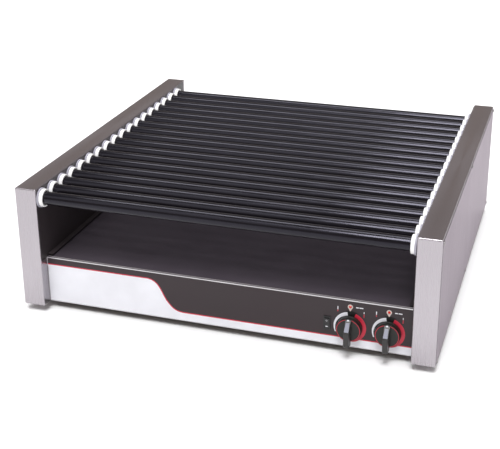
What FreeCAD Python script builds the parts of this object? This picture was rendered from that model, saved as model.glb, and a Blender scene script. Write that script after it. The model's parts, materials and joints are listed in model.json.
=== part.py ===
import FreeCAD, Part
import math
import os
import re

import Sketcher

# A counter-top roller grill. +Z is up, +X is to the operator's right and the operator stands at -Y.
# The origin is on the floor, at the centre of the footprint. Lengths are in millimetres.

DRIVING_SIZES = {
    # whole machine
    "overall_width": 892,
    "housing_height": 270,
    "housing_width": 49,
    "foot_height": 16,
    "sheet": 1.2,
    "bend_radius": 2.5,
    "return_flange": 12,
    # outer side covers and their screws
    "cover_inset": 4,
    "cover_screw_inset": 9,
    "screw_radius": 2,
    "screw_head_radius": 3.8,
    "screw_head_height": 1.8,
    "screw_length": 6,
    "screw_clearance": 0.2,
    # feet
    "foot_top_radius": 17,
    "foot_bottom_radius": 14,
    "foot_side_inset": 28,
    "foot_end_inset": 85,
    "foot_recess_radius": 6.5,
    "foot_recess_depth": 7,
    "foot_screw_radius": 3,
    "foot_screw_head_radius": 5.5,
    "foot_screw_head_height": 4,
    "foot_nut_radius": 5.5,
    "foot_nut_height": 4.5,
    # rollers
    "roller_count": 18,
    "roller_pitch": 44.45,
    "roller_radius": 14.3,
    "roller_wall": 1.2,
    "roller_front_inset": 21.6,
    "roller_rear_space": 72.75,
    "roller_drop": 24,
    "neck_radius": 8,
    "neck_wall": 1.5,
    "neck_shoulder": 3,
    "neck_reach_left": 20,
    "neck_reach_right": 10,
    "ring_width": 2,
    "ring_thickness": 1.2,
    "ring_distance": 5.6,
    # bearing collars
    "bearing_length": 12,
    "bearing_radius": 19,
    "bearing_flange_radius": 21,
    "bearing_flange_thickness": 4,
    "spigot_wall": 3,
    "spigot_length": 5,
    "cup_depth": 6,
    "cup_clearance": 0.6,
    "end_float": 0.5,
    "running_clearance": 0.05,
    "press_clearance": 0.02,
    "spigot_clearance": 0.1,
    # sprockets and chain
    "sprocket_teeth": 12,
    "chain_pitch": 6.35,
    "chain_roller_radius": 1.65,
    "sprocket_thickness": 2.8,
    "sprocket_distance": 14,
    "tooth_height": 1.35,
    "tooth_gap_root": 2.3,
    "tooth_gap_tip": 5.1,
    "root_clearance": 0.17,
    "hub_wall": 1.2,
    "hub_length": 6,
    "plate_height": 5,
    "plate_thickness": 0.9,
    "plate_spacing": 3.4,
    # drive
    "motor_y": -30,
    "motor_rise": 69,
    "motor_shaft_radius": 5,
    "motor_shaft_depth": 10,
    "motor_shaft_reach": 20,
    "motor_boss_radius": 11,
    "gearbox_length": 42,
    "gearbox_depth": 72,
    "gearbox_height": 58,
    "gearbox_below_shaft": 36,
    "motor_can_radius": 25,
    "motor_can_length": 62,
    "motor_can_drop": 10,
    "bracket_plate": 3,
    "bracket_margin": 12,
    "motor_screw_inset": 6,
    "idler_distance": 42,
    "idler_height": 57,
    "idler_slot_half": 12,
    "idler_pin_radius": 4,
    "idler_head_radius": 6,
    "idler_head_thickness": 2,
    "idler_plate_width": 32,
    "idler_plate_height": 60,
    "idler_plate_thickness": 2,
    # heating rods and the brackets that hold their ends
    "rod_radius": 3.5,
    "rod_clearance": 0.15,
    "rod_overhang": 5,
    "rod_bracket_distance": 27.8,
    "rod_bracket_top_gap": 3.6,
    "rod_bracket_below_axis": 12,
    "rod_bracket_end": 14,
    # open bay and drip tray
    "liner_sheet": 0.8,
    "liner_front_inset": 4,
    "keeper_width": 12,
    "keeper_clearance": 1.7,
    "keeper_front_inset": 31,
    "back_wall_inset": 27,
    "back_wall_drop": 12,
    "back_wall_flange": 12,
    "tray_sheet": 0.8,
    "tray_rim": 3.6,
    "tray_side_gap": 1.5,
    "tray_end_gap": 2,
    "tray_lift": 0.3,
    # base
    "base_front_inset": 27,
    "base_back_inset": 10,
    "base_lift": 1.5,
    "base_height": 104.1,
    "panel_flange": 15,
    "pan_rim": 12,
    "overlay_thickness": 0.4,
    "overlay_margin": 1,
    # controls
    "knob_rise": 44.8,
    "knob_side_inset": 50.5,
    "knob_spacing": 77.5,
    "knob_gap": 1,
    "skirt_radius": 26,
    "skirt_face_radius": 25,
    "skirt_thickness": 14,
    "knob_bore_depth": 12,
    "grip_width": 12,
    "grip_root": 1,
    "grip_height": 20,
    "grip_tip": 24.5,
    "grip_tip_height": 1.5,
    "grip_peak": 3,
    "grip_tail": 31,
    "grip_tail_height": 18,
    "shaft_radius": 3,
    "shaft_depth": 17,
    "shaft_end_gap": 0.5,
    "control_bush_radius": 4.7,
    "control_bush_hole": 5,
    "control_width": 40,
    "control_depth": 34,
    "pilot_drop": 13.1,
    "pilot_radius": 2.6,
    "pilot_hole": 2.8,
    "pilot_body_radius": 4.5,
    "pilot_body_length": 18,
    "pilot_proud": 2.2,
    "switch_spacing": 46.8,
    "switch_rise": 47.4,
    "bezel_width": 14.3,
    "bezel_height": 29.8,
    "bezel_proud": 2,
    "switch_width": 12,
    "switch_length": 26,
    "switch_depth": 20,
    "switch_clearance": 0.1,
    "pocket_width": 10.8,
    "pocket_length": 24.6,
    "pocket_depth": 7,
    "rocker_width": 10.2,
    "rocker_half_length": 11.5,
    "rocker_end_height": 3.2,
    "rocker_middle_height": 1.6,
    "rocker_keel": 5,
    "rocker_keel_half": 6,
    "rocker_side_depth": 2,
    "trunnion_radius": 1.2,
    "trunnion_length": 11.8,
    "rocker_tilt": 8,
    # mains side
    "gland_side_inset": 77,
    "gland_rise": 44.5,
    "gland_barrel_radius": 9.9,
    "gland_hole": 10,
    "gland_nut_radius": 13,
    "gland_nut_length": 8,
    "gland_cap_length": 11,
    "gland_tip_length": 7.4,
    "gland_tip_radius": 9,
    "gland_bore": 5.5,
    "block_length": 62,
    "block_depth": 22,
    "block_height": 18,
    "block_side_inset": 147,
    "block_rear_gap": 33,
    "vent_width": 5,
    "vent_height": 36,
    "vent_pitch": 14,
    "vent_count": 12,
    "vent_side_inset": 147,
    "vent_rise": 34.5,
}

# Sizes and places that follow from the driving sizes
DERIVED_SIZES = {
    "overall_depth": "roller_front_inset + (roller_count - 1)*roller_pitch + roller_rear_space",
    "ring_radius": "neck_radius + ring_width",
    "spigot_radius": "neck_radius + spigot_wall",
    "hub_radius": "neck_radius + hub_wall",
    "motor_z": "foot_height + motor_rise",
    "base_bottom": "foot_height + base_lift",
    "deck_height": "base_bottom + base_height",
    "keeper_height": "tray_lift + tray_rim + keeper_clearance",
    "back_wall_top": "foot_height + housing_height - roller_drop - back_wall_drop",
    "knob_height": "base_bottom + knob_rise",
    "knob_right_x": "overall_width/2 - housing_width - knob_side_inset",
    "knob_left_x": "knob_right_x - knob_spacing",
    "pilot_height": "deck_height - sheet - pilot_drop",
    "switch_x": "knob_left_x - switch_spacing",
    "switch_height": "base_bottom + switch_rise",
    "gland_x": "overall_width/2 - housing_width - gland_side_inset",
    "gland_z": "base_bottom + gland_rise",
    "block_x": "overall_width/2 - housing_width - block_side_inset",
    "block_y": "overall_depth/2 - base_back_inset - block_rear_gap - block_depth",
    "vent_x": "vent_side_inset + housing_width - overall_width/2",
    "vent_bottom": "base_bottom + vent_rise",
}

# Expressions that several pieces share
INNER_WALL = "(overall_width/2 - housing_width)"
WALL_OUTSIDE = "(overall_width/2 - housing_width + sheet)"
LINER_FACE = "(overall_width/2 - housing_width - liner_sheet)"
COVER_INSIDE = "(overall_width/2 - sheet)"
HOUSING_TOP = "(foot_height + housing_height)"
FRONT = "(-overall_depth/2)"
BACK = "(overall_depth/2)"
ROLLER_Z = "(foot_height + housing_height - roller_drop)"
FIRST_ROLLER_Y = "(roller_front_inset - overall_depth/2)"
LAST_ROLLER_Y = "(roller_front_inset - overall_depth/2 + (roller_count - 1)*roller_pitch)"
CUP_FLOOR = "(overall_width/2 - housing_width - liner_sheet - bearing_length + cup_depth)"
TUBE_END = "(overall_width/2 - housing_width - liner_sheet - bearing_length + cup_depth - end_float)"
PITCH_RADIUS = "(chain_pitch/(2*sin(180/sprocket_teeth)))"
SPROCKET_X = "(-(overall_width/2 - housing_width + sheet) - sprocket_distance)"
PANEL_FRONT = "(base_front_inset - overall_depth/2)"
PANEL_BACK = "(base_front_inset - overall_depth/2 + sheet)"
OVERLAY_FRONT = "(base_front_inset - overall_depth/2 - overlay_thickness)"
REAR_FACE = "(overall_depth/2 - base_back_inset)"
BACK_WALL_Y = "(overall_depth/2 - back_wall_inset)"
DECK_UNDERSIDE = "(deck_height - sheet)"
SKIRT_BACK = "(base_front_inset - overall_depth/2 - overlay_thickness - knob_gap)"

doc = FreeCAD.newDocument("roller_grill")
sheet = doc.addObject("Spreadsheet::Sheet", "sizes")
next_row = 1


def add_size(name, value):
    """Put one named size into the spreadsheet."""
    global next_row
    sheet.set("A%d" % next_row, name)
    sheet.set("B%d" % next_row, str(value))
    sheet.setAlias("B%d" % next_row, name)
    next_row += 1


for size_name, size_value in DRIVING_SIZES.items():
    add_size(size_name, size_value)
for size_name, formula in DERIVED_SIZES.items():
    add_size(size_name, "=" + formula)
doc.recompute()
known_sizes = set(DRIVING_SIZES) | set(DERIVED_SIZES)


def value(expression):
    """The number that an expression of sizes has now."""
    return float(sheet.evalExpression(str(expression)))


def expand(expression):
    """Write each size's name in an expression as a reference to its cell."""

    def cell(match):
        word = match.group()
        return "sizes." + word if word in known_sizes else word

    return re.sub(r"[a-z_]+", cell, str(expression))


def bind(piece, prop, expression):
    """Tie one property of a piece to an expression of sizes."""
    piece.setExpression(prop, expand(expression))


def place(piece, x=None, y=None, z=None, axis=None, angle=0):
    """Give a piece a place that follows the sizes, and a fixed turn."""
    if axis is not None:
        turn = FreeCAD.Rotation(FreeCAD.Vector(*axis), angle)
        piece.Placement = FreeCAD.Placement(FreeCAD.Vector(), turn)
    for letter, expression in (("x", x), ("y", y), ("z", z)):
        if expression is not None:
            bind(piece, ".Placement.Base." + letter, expression)
    return piece


# ---------------------------------------------------------------- solids from Part primitives


def box(name, x, y, z):
    """A block between a low and a high plane on each axis."""
    block = doc.addObject("Part::Box", name)
    for prop, (low, high) in (("Length", x), ("Width", y), ("Height", z)):
        bind(block, prop, "(%s) - (%s)" % (high, low))
    return place(block, x[0], y[0], z[0])


def rod(name, along, radius, span, centre):
    """A round bar along one axis. The centre gives its place on the two other axes, in order."""
    bar = doc.addObject("Part::Cylinder", name)
    bind(bar, "Radius", radius)
    bind(bar, "Height", "(%s) - (%s)" % (span[1], span[0]))
    if along == "x":
        return place(bar, span[0], centre[0], centre[1], (0, 1, 0), 90)
    if along == "y":
        return place(bar, centre[0], span[0], centre[1], (1, 0, 0), -90)
    return place(bar, centre[0], centre[1], span[0])


def cut(name, base, *tools):
    """The base without the tools."""
    result = doc.addObject("Part::Cut", name)
    result.Base = base
    result.Tool = tools[0] if len(tools) == 1 else fuse(name + "_tool", *tools)
    return result


def fuse(name, *pieces):
    """The pieces joined into one."""
    result = doc.addObject("Part::MultiFuse", name)
    result.Shapes = list(pieces)
    result.Refine = True
    return result


def common(name, *pieces):
    """What the pieces share."""
    result = doc.addObject("Part::MultiCommon", name)
    result.Shapes = list(pieces)
    return result


def group(name, *pieces):
    """Separate solids kept as one sub-part."""
    result = doc.addObject("Part::Compound", name)
    result.Links = list(pieces)
    return result


def mirrored(name, source):
    """The source on the other side of the machine's middle plane."""
    result = doc.addObject("Part::Mirroring", name)
    result.Source = source
    result.Normal = (1, 0, 0)
    return result


# ---------------------------------------------------------------- PartDesign helpers


def new_body(name):
    return doc.addObject("PartDesign::Body", name)


def datum(body, role):
    """One of the body's own origin planes or axes."""
    return next(item for item in body.Origin.OriginFeatures if item.Role == role)


def sketch_on(body, name, plane, offset=None):
    """An empty sketch on one of the body's origin planes, moved along the plane's normal."""
    drawing = body.newObject("Sketcher::SketchObject", name)
    drawing.AttachmentSupport = [(datum(body, plane), "")]
    drawing.MapMode = "FlatFace"
    if offset is not None:
        bind(drawing, ".AttachmentOffset.Base.z", offset)
    return drawing


def pin_point(drawing, geometry, point, at):
    """Hold one point of a sketch at a place that follows the sizes."""
    for kind, expression in zip(("DistanceX", "DistanceY"), at):
        rule = Sketcher.Constraint(kind, -1, 1, geometry, point, value(expression))
        bind(drawing, "Constraints[%d]" % drawing.addConstraint(rule), expression)


def outline(body, name, plane, corners, offset=None):
    """A closed outline of straight lines through the corners."""
    drawing = sketch_on(body, name, plane, offset)
    points = [FreeCAD.Vector(value(across), value(up), 0) for across, up in corners]
    for start, end in zip(points, points[1:] + points[:1]):
        drawing.addGeometry(Part.LineSegment(start, end), False)
    for index in range(len(corners)):
        following = (index + 1) % len(corners)
        drawing.addConstraint(Sketcher.Constraint("Coincident", index, 2, following, 1))
    for index, corner in enumerate(corners):
        pin_point(drawing, index, 1, corner)
    return drawing


def circle(body, name, plane, radius, centre=("0", "0"), offset=None):
    """A sketch of one circle."""
    drawing = sketch_on(body, name, plane, offset)
    middle = FreeCAD.Vector(value(centre[0]), value(centre[1]), 0)
    round_edge = Part.Circle(middle, FreeCAD.Vector(0, 0, 1), value(radius))
    drawing.addGeometry(round_edge, False)
    pin_point(drawing, 0, 3, centre)
    rule = Sketcher.Constraint("Radius", 0, value(radius))
    bind(drawing, "Constraints[%d]" % drawing.addConstraint(rule), radius)
    return drawing


def pad(body, profile, length):
    feature = body.newObject("PartDesign::Pad", profile.Name + "_pad")
    feature.Profile = profile
    bind(feature, "Length", length)
    return feature


def pocket(body, profile, depth):
    """Cut the profile into the body, against the sketch's normal."""
    feature = body.newObject("PartDesign::Pocket", profile.Name + "_pocket")
    feature.Profile = profile
    bind(feature, "Length", depth)
    return feature


def spin(body, profile, axis):
    """A full turn of the profile about one of the body's axes."""
    feature = body.newObject("PartDesign::Revolution", profile.Name + "_spin")
    feature.Profile = profile
    feature.ReferenceAxis = (datum(body, axis), [""])
    feature.Angle = 360
    return feature


def row_of(body, feature, axis, count, pitch):
    """Repeat a feature in a straight row."""
    row = body.newObject("PartDesign::LinearPattern", feature.Name + "_row")
    row.Originals = [feature]
    row.Direction = (datum(body, axis), [""])
    bind(row, "Length", "(%s - 1)*(%s)" % (count, pitch))
    bind(row, "Occurrences", count)
    body.Tip = row
    return row


def ring_of(body, feature, axis, count):
    """Repeat a feature around an axis."""
    ring = body.newObject("PartDesign::PolarPattern", feature.Name + "_ring")
    ring.Originals = [feature]
    ring.Axis = (datum(body, axis), [""])
    ring.Angle = 360
    bind(ring, "Occurrences", count)
    body.Tip = ring
    return ring


def rounded_block(name, x, y, z, radius):
    """A block with every edge rounded, as a folded and ground sheet box has."""
    body = new_body(name)
    corners = [(y[0], z[0]), (y[1], z[0]), (y[1], z[1]), (y[0], z[1])]
    length = "(%s) - (%s)" % (x[1], x[0])
    block = pad(body, outline(body, name + "_outline", "YZ_Plane", corners, x[0]), length)
    doc.recompute()
    rounding = body.newObject("PartDesign::Fillet", name + "_rounding")
    rounding.Base = (block, ["Edge%d" % (n + 1) for n in range(len(block.Shape.Edges))])
    bind(rounding, "Radius", radius)
    return body


# ---------------------------------------------------------------- chain path and phases


def direction(angle):
    return (math.cos(angle), math.sin(angle))


def right_of(angle):
    """Unit vector to the right of a travel direction."""
    return (math.sin(angle), -math.cos(angle))


def chain_path(idler_z):
    """Stretches of the chain's pitch line in the Y-Z plane, from the top of the last roller's sprocket.

    Each entry is a straight run to the next sprocket and the wrap around it.
    """
    radius = value(PITCH_RADIUS)
    roller_z = value(ROLLER_Z)
    last = (value(LAST_ROLLER_Y), roller_z, 1)
    first = (value(FIRST_ROLLER_Y), roller_z, 1)
    motor = (value("motor_y"), value("motor_z"), 1)
    idler = (value("motor_y + idler_distance"), idler_z, -1)
    loop = [last, first, motor, idler, last]
    headings = []
    runs = []
    for here, there in zip(loop, loop[1:]):
        across, up = there[0] - here[0], there[1] - here[1]
        distance = math.hypot(across, up)
        shift = (here[2] - there[2]) * radius
        headings.append(math.atan2(up, across) + math.asin(shift / distance))
        runs.append(math.sqrt(distance**2 - shift**2))
    stretches = []
    for index, (centre, run) in enumerate(zip(loop[1:], runs)):
        heading = headings[index]
        leaving = headings[(index + 1) % len(headings)]
        wrap = ((leaving - heading) * centre[2]) % (2 * math.pi)
        stretches.append({"centre": centre, "run": run, "heading": heading, "wrap": wrap})
    return stretches


def chain_length(idler_z):
    """Length of the loop, counted in whole and part pitches."""
    wrap_length = value("sprocket_teeth*chain_pitch") / (2 * math.pi)
    return sum(part["run"] + part["wrap"] * wrap_length for part in chain_path(idler_z))


def solve_idler():
    """Slide the idler in its slot until the loop holds an even number of pitches."""
    pitch = value("chain_pitch")
    middle = value("motor_z + idler_height")
    links = 2 * round(chain_length(middle) / (2 * pitch))
    low, high = middle - value("idler_slot_half"), middle + value("idler_slot_half")
    for _ in range(60):
        trial = (low + high) / 2
        if chain_length(trial) < links * pitch:
            low = trial
        else:
            high = trial
    return trial, links


def pin_places(idler_z, links):
    """Where each chain pin lies on the pitch line, with the sprocket that it lies on, if any."""
    pitch = value("chain_pitch")
    radius = value(PITCH_RADIUS)
    wrap_length = value("sprocket_teeth*chain_pitch") / (2 * math.pi)
    places = []
    travelled = 0.0
    count = 0
    for number, part in enumerate(chain_path(idler_z)):
        across, up, sense = part["centre"]
        side = right_of(part["heading"])
        touch = (across + sense * radius * side[0], up + sense * radius * side[1])
        ahead = direction(part["heading"])
        while count < links and count * pitch <= travelled + part["run"] + 1e-6:
            back = travelled + part["run"] - count * pitch
            places.append((touch[0] - ahead[0] * back, touch[1] - ahead[1] * back, None))
            count += 1
        travelled += part["run"]
        arc = part["wrap"] * wrap_length
        start = math.atan2(sense * side[1], sense * side[0])
        while count < links and count * pitch <= travelled + arc - 1e-6:
            angle = start + sense * (count * pitch - travelled) / wrap_length
            spot = direction(angle)
            places.append((across + radius * spot[0], up + radius * spot[1], (number, angle)))
            count += 1
        travelled += arc
    return places


def roller_phase(number):
    """Turn, in degrees, that puts a tooth gap of a roller's sprocket under the nearest pin above it."""
    distance = (value("roller_count") - 1 - number) * value("roller_pitch")
    pitch = value("chain_pitch")
    ahead = distance - round(distance / pitch) * pitch
    return -360 * ahead / value("sprocket_teeth*chain_pitch")


def sprocket_phase(places, number):
    """Turn, in degrees, that puts a tooth gap of the numbered sprocket under its chain pins."""
    angle = next(on[1] for _, _, on in places if on and on[0] == number)
    return (math.degrees(angle) - 90) % (360 / value("sprocket_teeth"))


idler_z, link_count = solve_idler()
pins = pin_places(idler_z, link_count)
MOTOR_STOP, IDLER_STOP = 1, 2
for size_name, size_value in (
    ("idler_z", idler_z),
    ("motor_phase", sprocket_phase(pins, MOTOR_STOP)),
    ("idler_phase", sprocket_phase(pins, IDLER_STOP)),
):
    add_size(size_name, size_value)
    known_sizes.add(size_name)
doc.recompute()

subparts = []


def finish(piece, label=None):
    """Take a piece into the model as a named sub-part."""
    piece.Label = label or piece.Name
    subparts.append(piece)
    return piece


# ---------------------------------------------------------------- side housings and covers


def roller_y(number):
    """Centre of the numbered roller, counted from 0 at the front."""
    return "%s + %d*roller_pitch" % (FIRST_ROLLER_Y, number)


def roller_numbers():
    return range(int(value("roller_count")))


def bearing_bores():
    """Long bars through both inner walls, where the bearing spigots pass."""
    reach = INNER_WALL + " + 2*sheet"
    bars = [
        rod("bearing_bore_%02d" % (n + 1), "x", "spigot_radius + spigot_clearance",
            ("-(%s)" % reach, reach), (roller_y(n), ROLLER_Z))
        for n in roller_numbers()
    ]
    return group("bearing_bores", *bars)


def cover_screw_spots():
    """Middle of each cover screw, as Y and Z."""
    ends = [FRONT + " + cover_screw_inset", "0", BACK + " - cover_screw_inset"]
    levels = ["foot_height + cover_screw_inset", HOUSING_TOP + " - cover_screw_inset"]
    return [(across, up) for up in levels for across in ends]


def foot_spots():
    """Middle of each right-hand foot, as X and Y."""
    across = "overall_width/2 - foot_side_inset"
    return [(across, FRONT + " + foot_end_inset"), (across, BACK + " - foot_end_inset")]


def housing_shell(name):
    """Folded sheet box on the right, closed to the bay and open to the outside within its flange."""
    outer = rounded_block(
        name + "_outer", (INNER_WALL, COVER_INSIDE), (FRONT, BACK), ("foot_height", HOUSING_TOP),
        "bend_radius")
    inner = rounded_block(
        name + "_inner", (WALL_OUTSIDE, COVER_INSIDE + " - sheet"),
        (FRONT + " + sheet", BACK + " - sheet"), ("foot_height + sheet", HOUSING_TOP + " - sheet"),
        "bend_radius - sheet")
    rim = "return_flange + sheet"
    window = box(
        name + "_window", (COVER_INSIDE + " - 2*sheet", COVER_INSIDE + " + sheet"),
        (FRONT + " + " + rim, "%s - (%s)" % (BACK, rim)),
        ("foot_height + " + rim, "%s - (%s)" % (HOUSING_TOP, rim)))
    screw_holes = [
        rod("%s_screw_hole_%d" % (name, n), "x", "screw_radius + screw_clearance",
            (COVER_INSIDE + " - 2*sheet", COVER_INSIDE + " + sheet"), spot)
        for n, spot in enumerate(cover_screw_spots())
    ]
    foot_holes = [
        rod("%s_foot_hole_%d" % (name, n), "z", "foot_screw_radius + screw_clearance",
            ("foot_height - sheet", "foot_height + 2*sheet"), spot)
        for n, spot in enumerate(foot_spots())
    ]
    return cut(name, outer, inner, window, *screw_holes, *foot_holes)


def side_cover(name):
    """Flat outer plate that closes the right housing."""
    plate = box(
        name + "_plate", (COVER_INSIDE, "overall_width/2"),
        (FRONT + " + cover_inset", BACK + " - cover_inset"),
        ("foot_height + cover_inset", HOUSING_TOP + " - cover_inset"))
    holes = [
        rod("%s_hole_%d" % (name, n), "x", "screw_radius + screw_clearance",
            (COVER_INSIDE + " - sheet", "overall_width/2 + sheet"), spot)
        for n, spot in enumerate(cover_screw_spots())
    ]
    return cut(name, plate, *holes)


def cover_screw(name, spot):
    """One pan-head screw of the right cover."""
    head = rod(name + "_head", "x", "screw_head_radius",
               ("overall_width/2", "overall_width/2 + screw_head_height"), spot)
    shank = rod(name + "_shank", "x", "screw_radius",
                ("overall_width/2 - screw_length", "overall_width/2 + screw_head_height"), spot)
    return fuse(name, head, shank)


bores = bearing_bores()
right_shell = housing_shell("housing_shell")
finish(cut("side_housing_right", right_shell, bores))
left_shell = mirrored("housing_shell_left", right_shell)
motor_hole = rod("motor_hole", "x", "motor_boss_radius + screw_clearance",
                 ("-(%s) - sheet" % WALL_OUTSIDE, "-(%s) + sheet" % INNER_WALL),
                 ("motor_y", "motor_z"))
finish(cut("side_housing_left", left_shell, bores, motor_hole))

cover_right = finish(side_cover("side_cover_right"))
finish(mirrored("side_cover_left", cover_right))

right_screws = [
    cover_screw("cover_screw_%d" % n, spot) for n, spot in enumerate(cover_screw_spots())
]
left_screws = [mirrored(screw.Name + "_left", screw) for screw in right_screws]
finish(group("cover_screws", *right_screws, *left_screws))


# ---------------------------------------------------------------- feet


def foot(name, spot):
    """Tapered rubber foot with a recess for its screw."""
    cone = doc.addObject("Part::Cone", name + "_cone")
    bind(cone, "Radius1", "foot_bottom_radius")
    bind(cone, "Radius2", "foot_top_radius")
    bind(cone, "Height", "foot_height")
    place(cone, spot[0], spot[1])
    recess = rod(name + "_recess", "z", "foot_recess_radius", ("-1", "foot_recess_depth"), spot)
    hole = rod(name + "_hole", "z", "foot_screw_radius + screw_clearance",
               ("0", "foot_height + 1"), spot)
    return cut(name, cone, recess, hole)


def foot_screw(name, spot):
    """Screw that holds a foot, with its nut inside the housing."""
    head_bottom = "foot_recess_depth - foot_screw_head_height"
    nut_bottom = "foot_height + sheet"
    nut_top = "foot_height + sheet + foot_nut_height"
    head = rod(name + "_head", "z", "foot_screw_head_radius",
               (head_bottom, "foot_recess_depth"), spot)
    shank = rod(name + "_shank", "z", "foot_screw_radius",
                (head_bottom, nut_top + " + foot_screw_radius"), spot)
    nut = doc.addObject("Part::Prism", name + "_nut_blank")
    nut.Polygon = 6
    bind(nut, "Circumradius", "foot_nut_radius")
    bind(nut, "Height", "foot_nut_height")
    place(nut, spot[0], spot[1], nut_bottom)
    thread = rod(name + "_thread", "z", "foot_screw_radius + press_clearance",
                 ("foot_height", nut_top + " + 1"), spot)
    return [fuse(name, head, shank), cut(name + "_nut", nut, thread)]


right_feet = [foot("foot_%d" % n, spot) for n, spot in enumerate(foot_spots())]
finish(group("feet", *right_feet, *[mirrored(one.Name + "_left", one) for one in right_feet]))
foot_fixings = []
for n, spot in enumerate(foot_spots()):
    foot_fixings += foot_screw("foot_screw_%d" % n, spot)
finish(group("foot_screws", *foot_fixings,
             *[mirrored(one.Name + "_left", one) for one in foot_fixings]))


# ---------------------------------------------------------------- open bay


def bay_liner(name):
    """Black sheet on the right inner wall, folded over the edge of the drip tray."""
    wall = box(
        name + "_wall", (LINER_FACE, INNER_WALL), (FRONT + " + liner_front_inset", REAR_FACE),
        ("deck_height", HOUSING_TOP + " - bend_radius"))
    keeper = box(
        name + "_keeper", (LINER_FACE + " - keeper_width", INNER_WALL),
        (FRONT + " + keeper_front_inset", BACK_WALL_Y),
        ("deck_height + keeper_height", "deck_height + keeper_height + liner_sheet"))
    return cut(name, fuse(name + "_sheet", wall, keeper), bores)


def bay_back_wall():
    """Back of the bay, with a foot on the deck and a stiffening fold at the top."""
    top = "back_wall_top"
    width = ("-(%s)" % LINER_FACE, LINER_FACE)
    wall = box("back_wall_sheet", width, (BACK_WALL_Y, BACK_WALL_Y + " + sheet"),
               ("deck_height", top))
    foot_fold = box("back_wall_foot", width, (BACK_WALL_Y, BACK_WALL_Y + " + back_wall_flange"),
                    ("deck_height", "deck_height + sheet"))
    top_fold = box("back_wall_fold", width,
                   (BACK_WALL_Y + " - back_wall_flange", BACK_WALL_Y + " + sheet"),
                   (top + " - sheet", top))
    return fuse("bay_back_wall", wall, foot_fold, top_fold)


def drip_tray():
    """Shallow tray on the deck, with an upturned rim all round."""
    half = LINER_FACE + " - tray_side_gap"
    low = "deck_height + tray_lift"
    back = BACK_WALL_Y + " - tray_end_gap"
    blank = box("tray_blank", ("-(%s)" % half, half), (PANEL_FRONT, back), (low, low + " + tray_rim"))
    hollow = box(
        "tray_hollow", ("-(%s - tray_sheet)" % half, half + " - tray_sheet"),
        (PANEL_FRONT + " + tray_sheet", back + " - tray_sheet"),
        (low + " + tray_sheet", low + " + 2*tray_rim"))
    return cut("drip_tray", blank, hollow)


liner_right = finish(bay_liner("bay_liner_right"))
finish(mirrored("bay_liner_left", liner_right))
finish(bay_back_wall())
finish(drip_tray())


# ---------------------------------------------------------------- base

ACROSS = ("-(%s)" % INNER_WALL, INNER_WALL)
KNOB_PLACES = (("left", "knob_left_x"), ("right", "knob_right_x"))


def front_openings(name):
    """What is cut through the front panel and the overlay for the controls."""
    span = (OVERLAY_FRONT + " - sheet", PANEL_BACK + " + sheet")
    tools = []
    for side, across in KNOB_PLACES:
        tools.append(rod("%s_shaft_%s" % (name, side), "y", "control_bush_hole", span,
                         (across, "knob_height")))
        tools.append(rod("%s_pilot_%s" % (name, side), "y", "pilot_hole", span,
                         (across, "pilot_height")))
    half_width = "(switch_width/2 + switch_clearance)"
    half_height = "(switch_length/2 + switch_clearance)"
    tools.append(box(name + "_switch",
                     ("switch_x - " + half_width, "switch_x + " + half_width), span,
                     ("switch_height - " + half_height, "switch_height + " + half_height)))
    return tools


def base_front_panel():
    """Upright front sheet, with a fold at the top that carries the deck."""
    upright = box("front_upright", ACROSS, (PANEL_FRONT, PANEL_BACK),
                  ("base_bottom", DECK_UNDERSIDE))
    fold = box("front_fold", ACROSS, (PANEL_FRONT, PANEL_FRONT + " + panel_flange"),
               (DECK_UNDERSIDE + " - sheet", DECK_UNDERSIDE))
    return cut("base_front_panel", fuse("front_sheet", upright, fold), *front_openings("panel"))


def control_overlay():
    """Printed film over the whole front of the base."""
    half = INNER_WALL + " - overlay_margin"
    film = box("overlay_film", ("-(%s)" % half, half), (OVERLAY_FRONT, PANEL_FRONT),
               ("base_bottom + overlay_margin", DECK_UNDERSIDE + " - overlay_margin"))
    return cut("control_overlay", film, *front_openings("overlay"))


def back_screw_spots():
    """Screws of the back panel, as X and Z."""
    columns = ["-(%s) + 3*cover_screw_inset" % INNER_WALL, "0",
               INNER_WALL + " - 3*cover_screw_inset"]
    rows = ["base_bottom + cover_screw_inset - sheet", DECK_UNDERSIDE + " - cover_screw_inset"]
    return [(across, up) for up in rows for across in columns]


def base_back_panel():
    """Rear sheet of the base, with vent slots and the cord gland's hole."""
    upright = box("rear_upright", ACROSS, (REAR_FACE + " - sheet", REAR_FACE),
                  ("base_bottom", DECK_UNDERSIDE))
    fold = box("rear_fold", ACROSS, (REAR_FACE + " - panel_flange", REAR_FACE),
               (DECK_UNDERSIDE + " - sheet", DECK_UNDERSIDE))
    span = (REAR_FACE + " - 2*sheet", REAR_FACE + " + sheet")
    tools = [
        box("vent_%02d" % n,
            ("vent_x + %d*vent_pitch" % n, "vent_x + %d*vent_pitch + vent_width" % n), span,
            ("vent_bottom", "vent_bottom + vent_height"))
        for n in range(int(value("vent_count")))
    ]
    tools.append(rod("gland_hole_cutter", "y", "gland_hole", span, ("gland_x", "gland_z")))
    tools += [
        rod("rear_screw_hole_%d" % n, "y", "screw_radius + screw_clearance", span, spot)
        for n, spot in enumerate(back_screw_spots())
    ]
    return cut("base_back_panel", fuse("rear_sheet", upright, fold), *tools)


def back_screw(name, spot):
    head = rod(name + "_head", "y", "screw_head_radius",
               (REAR_FACE, REAR_FACE + " + screw_head_height"), spot)
    shank = rod(name + "_shank", "y", "screw_radius",
                (REAR_FACE + " - screw_length", REAR_FACE + " + screw_head_height"), spot)
    return fuse(name, head, shank)


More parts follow.
